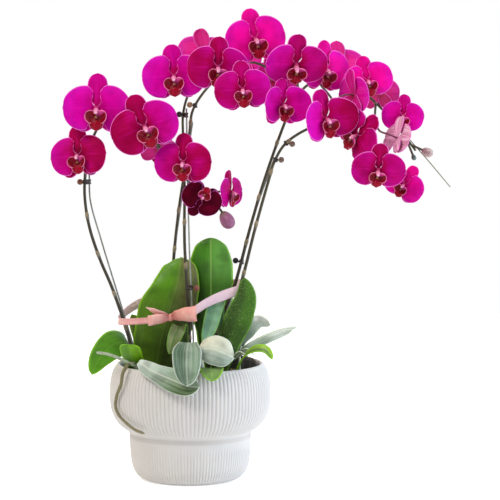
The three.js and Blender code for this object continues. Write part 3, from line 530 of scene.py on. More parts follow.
def add_tepal(bm, tepal, bloom, dice):
    """Adds one petal or sepal, gently waved, with its colour deepening to crimson at its foot."""
    is_petal = tepal.lobe != 0
    slope = math.tan(radians(tepal.lean + (bloom.fold if is_petal else dice.uniform(-3, 3))))
    angle = radians(tepal.angle + dice.uniform(-2.5, 2.5))
    wave, phase, curl = dice.uniform(0.5, 1.5), dice.uniform(0, 6.3), dice.uniform(-0.6, 1.6)
    reach = tepal.length * dice.uniform(0.97, 1.03)
    broad = tepal.half * dice.uniform(0.97, 1.04)
    cos, sin = math.cos(angle), math.sin(angle)

    def half(u):
        t = eased(u)
        claw = smooth(0, 0.34, t) if is_petal else smooth(0, 0.1, t)
        end = smooth(0, 0.01, 1 - t)
        return CLAW_HALF * (1 - claw) + broad * fullness(t, tepal.shift, tepal.power) * claw * end

    def place(u, v):
        t = eased(u)
        s, w = 1.2 + t * (reach - 1.2), v * half(u)
        bow = (tepal.arch * t * t + 0.07 * (w / tepal.half) ** 2) * tepal.length
        ripple = wave * t * t * math.sin(4.4 * v + phase) + curl * t * abs(v) ** 3 * math.sin(9 * t + phase)
        ripple *= min(half(u) / 5, 1)
        z = tepal.lift * smooth(0, 0.15, t) + slope * max(0, s - 7) - bow + ripple + PETAL_WALL / 2
        if is_petal:
            # The upper lobe of each petal leans in over the dorsal sepal.
            up = math.copysign(w, w * tepal.lobe)
            rounded = smooth(*LOBE_FROM, up) * (1 - 0.35 * smooth(*LOBE_TOP, up))
            s -= abs(tepal.lobe) * rounded * (1 - t)
        else:
            z += 1.1 * math.exp(-((w / 1.6) ** 2)) * t * (1 - t) * 2
        return Vector((s * cos - w * sin, s * sin + w * cos, z))

    def tint(u, v):
        t = eased(u)
        spot = place(u, v)
        foot = 0.6 * (1 - smooth(0.02, 0.42, t))
        # The shade slant is painted shade: one side of the flower deeper crimson than the other.
        crimson = bloom.deep + bloom.slant * spot.x / 40 + foot + (0 if is_petal else 0.28)
        crimson += 0.25 * noise.noise(spot * 0.05 + Vector((7 * phase, 0, 0)))
        colour = MAGENTA.lerp(HOT_PINK, bloom.hot).lerp(CRIMSON, clamped(crimson))
        # Crimson past full goes on towards near black: painted shade, on the flower that faces down and by
        # the hubs.
        colour = colour.lerp(SHADE_CRIMSON, clamped(crimson - 1) * 0.9)
        if is_petal:
            outer = smooth(0.5, 1, max(t, abs(v) * smooth(0, 0.3, t)))
            colour = colour.lerp(LILAC, 0.45 * outer * (1 - clamped(crimson)))
        colour[3] = bloom.pale
        return colour

    rows, columns = (22, 20) if is_petal else (18, 12)
    add_sheet(bm, rows, columns, PETAL_WALL, place, half, tint, (0, 1))


def add_lip(bm):
    """Adds the lip: a middle lobe, an ear each side of the column, and the callus between them."""
    line = Route(LIP_LINE)
    flesh, dark, blush = linear("9c0024"), linear("5c000c"), linear("ee58b4")

    def half(u):
        return stepped(LIP_HALF, u) * (1 - smooth(0.84, 1.0, u) ** 2) ** 0.5

    def place(u, v):
        curl = -1.5 * smooth(0.35, 0.7, u) * abs(v) ** 1.5 + 1.6 * smooth(0.5, 0.1, u) * abs(v) ** 2
        curl *= min(half(u) / 4, 1)
        keel = 0.9 * math.exp(-((v * half(u) / 1.3) ** 2)) * smooth(0.35, 0.6, u)
        return line.spot(u) + Vector((v * half(u), 0, curl + keel))

    def tint(u, v):
        return dark.lerp(flesh, smooth(0.2, 0.7, u) * (1 - 0.6 * v * v))

    add_sheet(bm, 16, 10, 0.9, place, half, tint, (2, 2))
    for side in (1, -1):
        grow = Vector((side * 0.85, 0.66, 0.42)).normalized()
        facing = across(Vector((-side * 0.55, 0.0, 0.85)), grow)
        over = facing.cross(grow)
        root = Vector((side * 2.2, -15, 4.5))

        def ear_half(u):
            return EAR_HALF * fullness(eased(u), 0.8, 2.2)

        def ear(u, v):
            t, w = eased(u), v * ear_half(u)
            cup = 1.8 * (w / EAR_HALF) ** 2 + 2.2 * t * t
            return root + grow * (15.5 * t) + over * w + facing * cup

        def ear_tint(u, v):
            margin = smooth(0.1, 0.8, v * side) if side > 0 else 0.35 * smooth(0.6, 1, v * side)
            return dark.lerp(flesh, 0.2 + 0.5 * abs(v)).lerp(blush, 0.85 * margin)

        add_sheet(bm, 12, 10, 0.8, ear, ear_half, ear_tint, (2, 2))
    add_ball(bm, Vector((0, -11.5, 7.5)), (4.2, 3.4, 3.2), "8a6a16", 3)
    for side in (1, -1):
        add_ball(bm, Vector((side * 1.7, -12.6, 8.4)), (1.9, 2.4, 2.2), "7c0f18", 3)


def add_column(bm):
    """Adds the short hooded column with its pale anther cap."""
    line = Route([(0, 1, 0), (0, -1.2, 4.5), (0, -3.4, 8.5), (0, -5.6, 11.4)])
    foot, tip = linear("a8105a"), linear("ef8cb8")
    spots = [line.spot(k / 8) for k in range(9)]
    thick = [2.4, 2.6, 2.8, 3.0, 3.2, 3.3, 3.2, 2.6, 1.0]

    def tint(share):
        return foot.lerp(tip, smooth(0.2, 0.8, share))

    add_tube(bm, spots, lambda share: stepped(thick, share), tint, 12, 3)
    add_ball(bm, Vector((0, -5.6, 11.2)), (4.8, 4.0, 3.8), "f7b6d2", 3)
    add_ball(bm, Vector((0, -8.0, 10.8)), (2.2, 2.4, 2.2), "6c0c30", 3)
    for side in (1, -1):
        add_ball(bm, Vector((side * 2.1, -4.4, 9.6)), (1.5, 3.4, 2.6), "b8306c", 3)


for number, (name, bloom) in enumerate(BLOOMS.items()):
    dice = random.Random(100 + number)
    bm = new_mesh()
    for tepal in TEPALS:
        add_tepal(bm, tepal, bloom, dice)
    add_lip(bm)
    add_column(bm)
    bmesh.ops.transform(bm, matrix=bloom_matrix(bloom), verts=bm.verts)
    make_piece(name + "_flower", bm, [petal_face, petal_back, lip_flesh, column_flesh], "petals", name)


# Flower spikes, from their buried feet to their tips.
SPIKES = {
    "left": [
        (-67, -2, 105), (-75, -4, 146), (-85, -8, 196), (-107, -12, 266), (-126, -12, 312), (-140, -12, 356),
        (-146, -12, 398), (-145, -10, 430), (-138, -6, 470), (-120, -2, 503), (-92, 0, 516), (-64, 0, 502),
        (-44, -4, 470), (-22, -8, 440), (2, -10, 415), (22, -14, 398), (40, -18, 384),
    ],
    "middle": [
        (0, -12, 105), (0, -14, 146), (-1, -18, 222), (-5, -20, 293), (-7, -20, 335), (-7, -18, 414),
        (-9, -15, 486), (-9, -12, 510), (-4, -10, 533), (8, -8, 556), (26, -6, 574), (46, -4, 582),
    ],
    "back": [
        (-30, 42, 105), (-29, 40, 146), (-27, 38, 250), (-24, 36, 309), (-16, 34, 381), (-10, 32, 420),
        (-1, 28, 487), (3, 26, 515), (16, 22, 538), (34, 20, 558), (58, 18, 576), (84, 16, 584),
        (105, 14, 578), (120, 12, 566),
    ],
    "rightHigh": [
        (17, 6, 105), (23, 6, 146), (45, 4, 225), (63, 2, 274), (85, 0, 356), (104, -2, 420), (130, -4, 494),
        (143, -4, 525), (158, 2, 547), (182, 10, 561), (217, 15, 556), (241, 15, 544), (256, 14, 531),
        (272, 12, 515), (287, 9, 498), (301, 4, 480), (315, 0, 461),
    ],
    "rightLow": [
        (31, 0, 105), (36, -1, 146), (54, -3, 225), (71, -5, 274), (92, -8, 356), (110, -10, 420),
        (117, -12, 444), (132, -17, 470), (160, -25, 490), (185, -31, 498), (207, -33, 491), (228, -34, 476),
        (247, -37, 460), (266, -41, 444), (283, -42, 430), (295, -38, 420),
    ],
}
SPIKE_STEPS = {"left": 19, "middle": 11, "back": 13, "rightHigh": 17, "rightLow": 16}
STEM_LOWER, STEM_UPPER = 2.6, 1.6
NODE_HEIGHTS = {
    "left": [215, 262, 315, 372, 430],
    "middle": [200, 300, 361, 425, 500],
    "back": [240, 318, 377, 450, 522],
    "rightHigh": [210, 262, 330, 395, 470],
    "rightLow": [225, 290, 359, 432, 473],
}
routes = {name: Route(points) for name, points in SPIKES.items()}
STEM_TONES = [linear(c) for c in ("2c241a", "37301e", "434428", "4a5231")]
BRACT_TONE, SCAR_TONE, STALK_PINK = "8d7f62", linear("a9a48c"), linear("a8567e")


def on_stem(name, share):
    """A spot on the straight runs that the solid stem is made of."""
    steps = SPIKE_STEPS[name]
    k = min(steps - 1, int(share * steps))
    near, far = (routes[name].spot_at(t / steps) for t in (k, k + 1))
    return near.lerp(far, share * steps - k)


def pedicel_line(name, bloom):
    """The flower stalk's line, from the spike to the back of the hub."""
    matrix, size = bloom_matrix(bloom), bloom.width / FULL_WIDTH

    def behind(reach):
        return matrix @ Vector((0, 0, -0.55 - reach / size))

    away = Vector(VIAS[name][0]) if name in VIAS else behind(18)
    shares = [0.35 + 0.01 * k for k in range(66)]
    nearest = min(shares, key=lambda share: (on_stem(bloom.spike, share) - away).length)
    foot = routes[bloom.spike].spot_at(max(0.35, nearest - 0.02))
    if name in VIAS:
        return Route([foot, *VIAS[name], behind(14), behind(-0.4)]).spots(24)
    first, second, third, last = foot, foot.lerp(away, 0.35) + Vector((0, 0, 4)), behind(12), behind(-0.4)
    line = []
    for k in range(15):
        t = k / 14
        middle = second * 3 * t * (1 - t) ** 2 + third * 3 * t * t * (1 - t)
        line.append(first * (1 - t) ** 3 + middle + last * t**3)
    return line


def stem_tone(share):
    return stepped(STEM_TONES, share)


def nearest(spots, z):
    """Which spot lies at a height, leaving out the hanging end of the spike."""
    count = len(spots) - 1
    return min(range(count + 1), key=lambda k: abs(spots[k].z - z) + (k > 0.7 * count) * 99)


for name, route in routes.items():
    bm = new_mesh()
    count = int(route.reach[-1] / 5)
    spots = route.spots(count)
    nodes = [nearest(spots, z) for z in NODE_HEIGHTS[name]]

    def thickness(share):
        swell = sum(math.exp(-(((share * count - k) / 0.8) ** 2)) for k in nodes)
        return STEM_LOWER + (STEM_UPPER - STEM_LOWER) * share + 0.55 * swell

    def tone(share):
        scar = max(math.exp(-(((share * count - k) / 0.6) ** 2)) for k in nodes)
        return stem_tone(share).lerp(SCAR_TONE, 0.6 * scar)

    def stalk_tone(share):
        return stem_tone(0.9).lerp(STALK_PINK, 0.75 * smooth(0.45, 1, share))

    add_tube(bm, spots, thickness, tone)
    for k in nodes:
        out = Vector((0.7 if k % 2 else -0.7, -0.5, 0))
        sheath = [spots[k].lerp(spots[k + 1], t) for t in (0, 0.3, 0.8, 1.3, 1.8)]
        sheath = [spot + out * (0.15 * i) for i, spot in enumerate(sheath)]
        add_tube(bm, sheath, lambda share: 3.0 - 1.9 * share**2, BRACT_TONE)
    for bloom_name, bloom in BLOOMS.items():
        if bloom.spike == name:
            line = pedicel_line(bloom_name, bloom)
            add_tube(bm, line, lambda share: 1.75 - 0.4 * share, stalk_tone, 8)
            add_tube(bm, [line[0], line[0].lerp(line[1], 0.7)], lambda share: 2.4 - share, BRACT_TONE, 8)
    make_piece(f"spike_{name}_stem", bm, [stem_skin], "flower_stems", f"spike_{name}")


# Buds at the tips of two spikes.
BUDS = [
    ("bud_left", "left", (52, -24, 366), 1.0, 27, 20, "96587e", "6c6a3c"),
    ("bud_right_large", "rightHigh", (331, -4, 459), 0.985, 17, 13, "c9b4ae", "9a6a78"),
    ("bud_right_small", "rightHigh", (312, -6, 452), 0.965, 9, 7, "5f7f74", "3d5540"),
]
for name, spike, at, share, length, width, colour, shoulder in BUDS:
    bm = new_mesh()
    verts = bmesh.ops.create_uvsphere(bm, u_segments=30, v_segments=20, radius=1)["verts"]
    foot = on_stem(spike, share)
    lean = (foot - Vector(at)).normalized()
    turn = lean.to_track_quat("Z", "Y").to_matrix().to_4x4()
    for vert in verts:
        x, y, z = vert.co
        around = math.atan2(y, x)
        seam = 1 - 0.1 * abs(math.cos(1.5 * around)) ** 10 * (1 - z * z)
        plump = width / 2 * seam * (1 - 0.16 * z)
        vert.co = Vector((x * plump, y * plump, z * length / 2))
        tone = linear(colour).lerp(linear(shoulder), smooth(0.2, 1.0, z))
        vert[bm.verts.layers.float_color["tint"]] = tone.lerp(linear("5c2c4a"), 4 * (1 - seam))
    bmesh.ops.transform(bm, matrix=Matrix.Translation(at) @ turn, verts=verts)
    line = [foot.lerp(Vector(at) + lean * length * 0.45, t / 6) for t in range(7)]
    add_tube(bm, line, 1.6, stem_tone(0.9), 8)
    make_piece(name, bm, [bud_skin], "flower_stems")


# Steel stakes, the bare end of the training wire, and the clips that hold the spikes to them.
STAKES = {
    "left": [(-70, 6, 116), (-77, 5, 172), (-97, 3, 244), (-124, -2, 336), (-139, -3, 392), (-140, -5, 428)],
    "middle": [(5, -24, 116), (5, -25, 200), (1, -26, 293), (-2, -24, 400), (-4, -19, 520)],
    "back": [(-23, 46, 116), (-30, 45, 247), (-13, 40, 390), (3, 34, 500)],
    "right": [(42, 10, 116), (50, 8, 225), (66, 7, 279), (90, 5, 371), (118, 2, 450)],
}
WIRE = [(256, 14, 531), (272, 13, 516), (300, 6, 484), (332, 3, 448), (364, 2, 410)]
stakes = {name: Route(points) for name, points in STAKES.items()}
for name, route in stakes.items():
    bm = new_mesh()
    add_tube(bm, route.spots(40), 1.2, "8b8f86")
    make_piece(f"stake_{name}_wire", bm, [stake_steel], "stakes", f"stake_{name}")
bm = new_mesh()
add_tube(bm, Route(WIRE).spots(24), 0.8, "8d9479", 8)
make_piece("training_wire_end", bm, [stake_steel], "stakes")

# Name, spike, stake, height, and the button's side, drop and colour.
CLIPS = [
    ("clip_left", "left", "left", 418, (-9.5, 0), "8a5a3c"),
    ("clip_middle", "middle", "middle", 272, (10.5, -1), "8a5340"),
    ("clip_upper", "middle", "middle", 511, (-7.5, 1), "2b2622"),
    ("clip_right", "rightHigh", "right", 305, (-8.5, 2), "15171c"),
    ("clip_back_top", "back", None, 524, (-7.5, 1), "a48a66"),
    ("clip_low_upper", "rightLow", None, 472, (8.5, -1), "8d7765"),
    ("clip_low_middle", "rightLow", None, 449, (8.0, 0), "7d6a5c"),
    ("clip_low_lower", "rightLow", None, 420, (7.5, -1), "4a4038"),
]
CLASP_TONE = "2a241e"
CAD_CLIPS = ("clip_left", "clip_middle", "clip_upper", "clip_right")
# Where along the clasp and how thick, and how far in front and how wide round the button.
CLASP_THICK = 3.3
CLASP = [(-3.4, 0.86), (-3.0, 1.0), (-1.6, 1.0), (-1.2, 0.9), (1.2, 0.9), (1.6, 1.0), (3.0, 1.0), (3.4, 0.86)]
BUTTON = [(1.4, 3.2), (1.0, 4.1), (-0.6, 4.1), (-1.1, 3.4), (-1.2, 2.2), (-0.7, 1.7)]
for name, spike, stake, height, (aside, drop), colour in CLIPS:
    stem = routes[spike].at_height(height)
    other = stakes[stake].at_height(height) if stake else stem + Vector((0.5, 2.5, 0))
    middle, gap = stem.lerp(other, 0.5), other - stem
    gap.z = 0
    bm = new_mesh()
    line = [Vector((0, 0, z)) for z, _ in CLASP]
    add_tube(bm, line, lambda share: CLASP_THICK * CLASP[round(share * 7)][1], CLASP_TONE, 20)
    bmesh.ops.scale(bm, vec=((gap.length / 2 + 3.2) / CLASP_THICK, 1, 1), verts=bm.verts)
    turn = Matrix.Translation(middle) @ Matrix.Rotation(math.atan2(gap.y, gap.x), 4, "Z")
    bmesh.ops.transform(bm, matrix=turn, verts=bm.verts)
    hub = middle + Vector((aside, -3.0, drop))
    neck = middle + Vector((aside * 0.2, -1.5, 0))
    add_tube(bm, [neck.lerp(hub, t / 3) for t in range(4)], 1.3, CLASP_TONE, 8)
    line = [hub + Vector((0, y, 0)) for y, _ in BUTTON]
    add_tube(bm, line, lambda share: BUTTON[round(share * 5)][1], colour, 20)
    nodes = [name] if name in CAD_CLIPS else []
    make_piece(name + "_clasp", bm, [clip_plastic], "clips", *nodes)


# Leaves: skin, middle line, half widths, the way across, channel, how clear the rib is, and tones at the
# foot's two sides and the tip's, which hold painted light and shade as well as the leaf's own greens.
LEAVES = {
    "left_outer": (
        green_leaf, [(-72, 24, 130), (-75, 24, 150), (-87, 18, 187), (-105, 6, 190), (-125, -8, 173),
        (-138, -18, 150)], [4, 8, 18, 21, 16, 3], (-0.7, 0.1, 0.7), 0.12, 0.1, ("2c4a14", "345e14",
        "5aa01a", "579a16"),
    ),
    # Its left half is painted bright and its right half dark olive: painted light and painted shade on the
    # two sides of its fold.
    "left_broad": (
        green_leaf, [(-48, 12, 124), (-49, 12, 145), (-43, 10, 187), (-31, 4, 233), (-19, 2, 271), (-14,
        6, 299), (-14, 9, 310)], [5, 20, 38, 42, 33, 15, 3], (0.93, 0.05, 0.36), 0.22, 0.1, ("587c1e",
        "35401c", "549008", "6e7040"),
    ),
    "lime_curled": (
        green_leaf, [(-68, -26, 130), (-72, -34, 150), (-77, -45, 168), (-80, -54, 181), (-82, -60, 191),
        (-83, -64, 197)], [4, 10, 15, 16, 15, 4], (0.95, -0.3, 0), 0.15, 0.15, ("3f6c06", "4c8008",
        "5a9a0a", "86c61a"),
    ),
    # Its nearly black foot is painted shade under the leaves around it.
    "tall": (
        green_leaf, [(29, 26, 124), (29, 26, 145), (29, 24, 192), (29, 20, 250), (29, 14, 300), (29, 14,
        327), (29, 17, 338)], [5, 8, 20, 31, 31, 20, 4], (1, 0, 0), 0.15, 0.5, ("142c08", "182f0b",
        "44881a", "66ac44"),
    ),
    "speckled": (
        dark_leaf, [(43, -28, 130), (45, -28, 150), (53, -28, 188), (67, -27, 226), (78, -24, 258), (76,
        -20, 284)], [4, 6, 15, 20, 15, 3], (0.9, -0.1, -0.4), 0.1, 0.3, ("233d12", "2c4a16", "33561a",
        "3f701c"),
    ),
    "pale_hanging": (
        dark_leaf, [(40, -20, 130), (41, -18, 160), (43, -14, 215), (44, -6, 243), (39, -14, 252), (29,
        -40, 222), (20, -57, 196)], [3, 3, 4, 4, 12, 16, 2], (0.9, 0.45, 0), 0.1, 0.3, ("2c4a2c",
        "2c4a2c", "5c8a6c", "7ca886"),
    ),
    "front_drooping": (
        silver_leaf, [(-50, -50, 130), (-56, -57, 151), (-69, -70, 173), (-50, -98, 165), (-20, -114,
        154), (0, -122, 147), (15, -127, 146)], [2.5, 3, 4, 12, 17, 15, 5], (-0.55, -0.37, -0.73), 0.06,
        0.5, ("dcece8", "ccdfd9", "86a584", "3f6626"),
    ),
    "front_middle": (
        silver_leaf, [(8, -52, 132), (7, -60, 152), (4, -78, 186), (1, -98, 203), (-1, -118, 192), (-1,
        -130, 172), (0, -136, 150)], [3, 3.5, 4, 12, 20, 18, 4], (1, 0, 0), 0.1, 0.25, ("5f8064",
        "829a80", "4e6f55", "789479"),
    ),
    # Its cream upper side is partly its own pale colour and partly painted light where the light falls.
    "front_right": (
        silver_leaf, [(23, -42, 130), (20, -52, 155), (16, -72, 183), (15, -88, 193), (34, -98, 194), (51,
        -101, 188), (61, -98, 183)], [3, 3.5, 4, 14, 21.5, 19, 8], (-0.29, -0.44, -0.83), 0.08, 0.35,
        ("f6f4dc", "b9c6b6", "d4dac4", "8fa292"),
    ),
    "front_green": (
        green_leaf, [(27, -54, 128), (28, -62, 147), (30, -84, 165), (31, -102, 168), (32, -114, 163),
        (33, -121, 154)], [3, 5, 14, 17, 14, 3], (0.96, 0.28, 0), 0.1, 0.2, ("4a6a2c", "4a6a2c", "7a9c54",
        "7a9c54"),
    ),
    "striped_small": (
        dark_leaf, [(-6, -34, 130), (-7, -34, 150), (-9, -34, 200), (-13, -38, 218), (-20, -46, 205),
        (-27, -50, 182)], [3, 4, 8, 11, 10, 2], (1, 0, 0), 0.1, 0.8, ("4f6236", "465a2e", "8a9a68",
        "6c7c4c"),
    ),
    "right_drooping": (
        green_leaf, [(62, -28, 130), (64, -31, 148), (76, -46, 178), (92, -58, 190), (106, -66, 190),
        (115, -70, 178)], [2.5, 3, 4.5, 6, 7, 2], (0.5, 0.2, 0.7), 0.12, 0.2, ("45602c", "4a6630",
        "6c8c4c", "a4d24c"),
    ),
    "left_back": (
        green_leaf, [(-60, 30, 128), (-61, 30, 148), (-70, 26, 190), (-78, 21, 216), (-81, 18, 229)], [3,
        5, 10, 9, 2], (0.9, 0, 0.35), 0.15, 0.1, ("3a4a1c", "3f5420", "6c7a34", "8a8f44"),
    ),
}
LEAF_WALL = 1.5


def add_leaf(bm, spine, halves, sideways, channel, rib, tones, dice, rows=34, columns=14):
    """Adds one leaf on its middle line, hollowed along it, with a softly waved edge and a round tip."""
    route, side = Route(spine), Vector(sideways).normalized()
    foot_left, foot_right, tip_left, tip_right = [linear(tone) for tone in tones]
    phase, wave = dice.uniform(0, 6.3), dice.uniform(0.3, 0.9)

    def spread(u):
        return 1 - (1 - u) ** 1.5

    last = len(halves) - 1
    turn = (last - 2) / last
    narrowing = min(halves[-2] / halves[-3], 0.93)
    bend = max(math.log(1 - narrowing**2) / math.log(0.5), 1.0)

    def half(u):
        """Half the leaf's width, with a round tip past the last but two of the widths."""
        t = spread(u)
        if t <= turn:
            return stepped(halves, t)
        return halves[-3] * max(0.0, 1 - ((t - turn) / (1 - turn)) ** bend) ** 0.5

    def place(u, v):
        t = spread(u)
        along = route.along(t)
        over = across(side, along)
        facing = over.cross(along)
        wide = half(u)
        ripple = wave * smooth(0.2, 0.6, t) * abs(v) ** 3 * math.sin(11 * t + phase + v)
        hollow = -channel * wide * v * v + ripple
        groove = -0.7 * math.exp(-((v * wide / 1.6) ** 2)) * smooth(0.05, 0.2, t) * (1 - t)
        return route.spot(t) + over * (v * wide) + facing * (hollow + groove + LEAF_WALL / 2)

    # A foot darker than the tip is painted shade from the leaves around it, over the leaf's own greens.
    def tint(u, v):
        share = smooth(0.3, 0.75, spread(u))
        left, right = foot_left.lerp(tip_left, share), foot_right.lerp(tip_right, share)
        colour = left.lerp(right, smooth(-0.3, 0.3, v))
        colour[3] = rib
        return colour

    # Facing is across x along, so the grid's own front is its other side.
    add_sheet(bm, rows, columns, LEAF_WALL, lambda u, v: place(u, -v), half, lambda u, v: tint(u, -v))


for number, (name, (material, *shape)) in enumerate(LEAVES.items()):
    bm = new_mesh()
    add_leaf(bm, *shape, random.Random(300 + number))
    slot = "leaves" if material in (green_leaf, dark_leaf) else "pale_leaves"
    if name in ("lime_curled", "front_green", "right_drooping"):
        slot = "lime_leaves"
    make_piece(f"leaf_{name}_blade", bm, [material], slot, f"leaf_{name}")

# The silvery sprig on the right.
SPRIG_STEM = [(68, -6, 128), (69, -8, 150), (70, -12, 184), (74, -15, 200)]
SPRIG_LEAVES = [
    ([(72, -13, 188), (80, -18, 208), (96, -24, 224), (112, -30, 221)], [3, 11, 12, 4], (0.4, 0.3, -0.86)),
    ([(68, -14, 176), (96, -22, 194), (124, -28, 206), (142, -30, 213)], [3, 7, 6, 1.5], (0.3, 0.3, -0.9)),
    ([(70, -11, 182), (100, -8, 196), (130, 0, 208), (149, 2, 213)], [3, 6, 4, 1.5], (0.3, 0.3, -0.9)),
    ([(70, -12, 180), (60, -14, 193), (55, -14, 206)], [2, 5, 1.5], (0.8, 0, 0.5)),
    ([(68, -14, 176), (80, -28, 185), (90, -38, 179)], [3, 8, 3], (0.5, 0.3, -0.8)),
    ([(60, -24, 171), (70, -36, 182), (82, -46, 177)], [3, 8, 2], (0.4, 0.5, -0.7)),
]
bm = new_mesh()
add_tube(bm, Route(SPRIG_STEM).spots(14), lambda share: 2 - 0.4 * share, "6f8a6a")
for number, shape in enumerate(SPRIG_LEAVES):
    tones = ("aebfb0", "9db09f", "f2f6f2", "d7e1da")
    add_leaf(bm, *shape, 0.05, 0.5, tones, random.Random(400 + number), 20, 8)
make_piece("silver_sprig_leaves", bm, [cream_leaf], "pale_leaves", "silver_sprig")


# Aerial roots: one reaches out to the left, one creeps down the outside of the pot.
ROOT_REACHING = [
    (-64, -46, 132), (-67, -52, 150), (-74, -58, 165), (-84, -66, 172), (-101, -66, 180), (-114, -61, 183.5),
    (-128, -55, 184.5),
]
ROOT_CREEPING = [
    (-76, -56, 170), (-84, -68, 169), (-90.5, -76, 158), (-93, -75, 143), (-99.5, -64, 126),
    (-101.4, -60, 109), (-96.7, -65, 99), (-86.4, -75, 90), (-73, -87, 82), (-60, -94, 78),
]
bm = new_mesh()
for points, first, last in ((ROOT_REACHING, "8f9f83", "a9b79c"), (ROOT_CREEPING, "7d7a55", "8a8468")):
    route = Route(points)
    count = int(route.reach[-1] / 2.5)
    start, end = linear(first), linear(last)

    def root_radius(share):
        knobbly = 0.12 * math.sin(41 * share) + 0.1 * math.sin(97 * share + 1)
        return (2.45 - 0.45 * share + knobbly) * max(0.15, 1 - smooth(0.965, 1, share)) ** 0.5

    add_tube(bm, route.spots(count), root_radius, lambda share: start.lerp(end, share), 12)
make_piece("aerial_roots_skin", bm, [root_skin], "roots", "aerial_roots")


# Ribbon: a band once round all the stems, and a bow in front.
BAND = [
    (-27, -48, 233), (-58, -38, 227), (-84, -25, 224), (-99, -11, 223), (-99, 4, 226), (-72, 34, 244),
    (-26, 49, 256), (20, 46, 264), (52, 35, 270), (73, 13, 273), (76, -3, 271), (69, -13, 267),
    (49, -22, 261), (24, -34, 251), (1, -46, 238), (-26, -49, 233),
]
LEFT_LOOP = [
    (-26, -50, 233), (-38, -59, 233), (-51, -64, 231), (-54, -59, 229), (-42, -54, 229), (-26, -50, 231),
]
RIGHT_LOOP = [(-26, -50, 233), (-16, -59, 236), (2, -68, 239), (8, -62, 239), (-6, -54, 236), (-26, -50, 231)]
TAIL = [(-28, -51, 234), (-38, -58, 238), (-48, -62, 243), (-59, -63, 248)]
RIBBON_WIDTH, RIBBON_WALL = 15, 0.35


def add_ribbon(bm, points, widths, rows, tilt, tones, puff=0):
    """Adds a strip of ribbon on its middle line, pleated where it is pinched, and puffed between."""
    route = Route(points)

    def half(u):
        return stepped(widths, u) / 2

    def place(u, v):
        near, far = route.spot_at(max(u - 2e-3, 0)), route.spot_at(min(u + 2e-3, 1))
        along = (far - near).normalized()
        up = across(Vector((0, tilt, 1)), along)
        out = along.cross(up)
        pleat = 0.35 * math.sin(3.2 * v + 5 * u)
        if puff:
            pinched = 1 - smooth(0, 0.4, min(u, 1 - u))
            pleat = 0.8 * pinched * math.sin(11 * v + 1) + puff * (1 - v * v) * (1 - pinched)
        return route.spot_at(u) + up * (v * half(u)) + out * pleat

    colours = [linear(tone) for tone in tones]
    add_sheet(bm, rows, 6, RIBBON_WALL, place, half, lambda u, v: stepped(colours, u))
    return route.reach[-1]


bm = new_mesh()
band_tones = ("e59a98", "eaa6a4", "f3cac8", "f5dad8", "f3dadb", "ead0d6", "e3c8d2", "e0c6d2", "e8b0ae")
band_length = add_ribbon(bm, BAND, [8, 9, 10, 12, 13, 13, 13, 13, 14, 12, 9], 150, 0, band_tones)
band = make_piece("ribbon_band", bm, [ribbon_satin], "ribbon", "ribbon")
# The loops and the tail are painted darker at the knot and lighter away from it: painted shade and painted
# light on one satin.
BOW = [
    ("loop_left", LEFT_LOOP, 15, [5, 12, 15, 15, 11, 5], -1.5, ("cf6a60", "f6b8ac", "eea498", "c8645a")),
    ("loop_right", RIGHT_LOOP, 15, [6, 17, 24, 22, 14, 6], 2.5, ("c4584a", "f6ae9e", "ee9484", "b44c40")),
    ("tail", TAIL, 10, [6, 10, 8, 1.5], 0, ("e89a8e", "f0aea2", "f3bdb2")),
]
for name, points, cut, widths, puff, tones in BOW:
    bm = new_mesh()
    length = add_ribbon(bm, points, widths, 36, -0.5, tones, puff)
    piece = make_piece("ribbon_" + name, bm, [ribbon_satin], "ribbon")
bm = new_mesh()
KNOT_AT = Vector((-26, -50.5, 232.5))
add_ball(bm, KNOT_AT, (9, 7, 10.5), "d98a80", 0, 3)
for vert in bm.verts:
    x, y, z = vert.co - KNOT_AT
    vert.co += Vector((x, y, 0)) * 0.09 * math.sin(2.2 * z + 0.6 * x)
make_piece("ribbon_knot", bm, [ribbon_satin], "ribbon")


# The pot: radius, height and share of the flutes' depth, up the outside, over the rim and down the inside.
FLUTES, FLUTE_DEPTH, FLUTE_BLUNTNESS, POT_STEPS = 120, 1.5, 0.7, 720
NECK_LOW, NECK_HIGH = 60, 70
OUTSIDE = [
    (0, 0.6, 0), (56, 0.6, 0), (61, 0, 0), (65, 0.6, 0), (69, 2.2, 0.3), (73.5, 5, 0.7), (78.5, 11, 1),
    (82.2, 20, 0.8), (84, 32, 0.7), (85, 44, 0.7), (85.3, 50, 0.35), (85.5, 56, 0), (85.8, 63, 0),
    (86.6, 67, 0), (89, 69.8, 0.2), (93.5, 72.6, 0.8), (99, 77, 1), (104.5, 83.5, 1), (109, 92, 1),
    (112, 102, 1), (113, 113, 1), (113.2, 124, 1), (112.6, 136, 1), (111, 146, 1), (108.5, 153.5, 1),
    (106, 158, 0.9), (104, 161, 0.4), (102.2, 162.8, 0), (100, 163, 0), (98, 161.6, 0),
]
INSIDE = [(97.5, 158), (101, 148), (106, 132), (106, 112), (99, 88), (79, 68), (77, 26), (70, 9), (0, 8)]
bm = new_mesh()
rib = bm.verts.layers.float["edge"]
outline = Route([(r, 0, z) for r, z, _ in OUTSIDE])
shares = [share for _, _, share in OUTSIDE]
OUTSIDE_ROWS = 62
chain = []
for k in range(OUTSIDE_ROWS + 1):
    spot = outline.spot(k / OUTSIDE_ROWS)
    vert = bm.verts.new((max(spot.x, 0), 0, spot.z))
    vert[rib] = stepped(shares, k / OUTSIDE_ROWS)
    chain.append(vert)
turn_round(bm, chain + [bm.verts.new((r, 0, z)) for r, z in INSIDE], POT_STEPS)
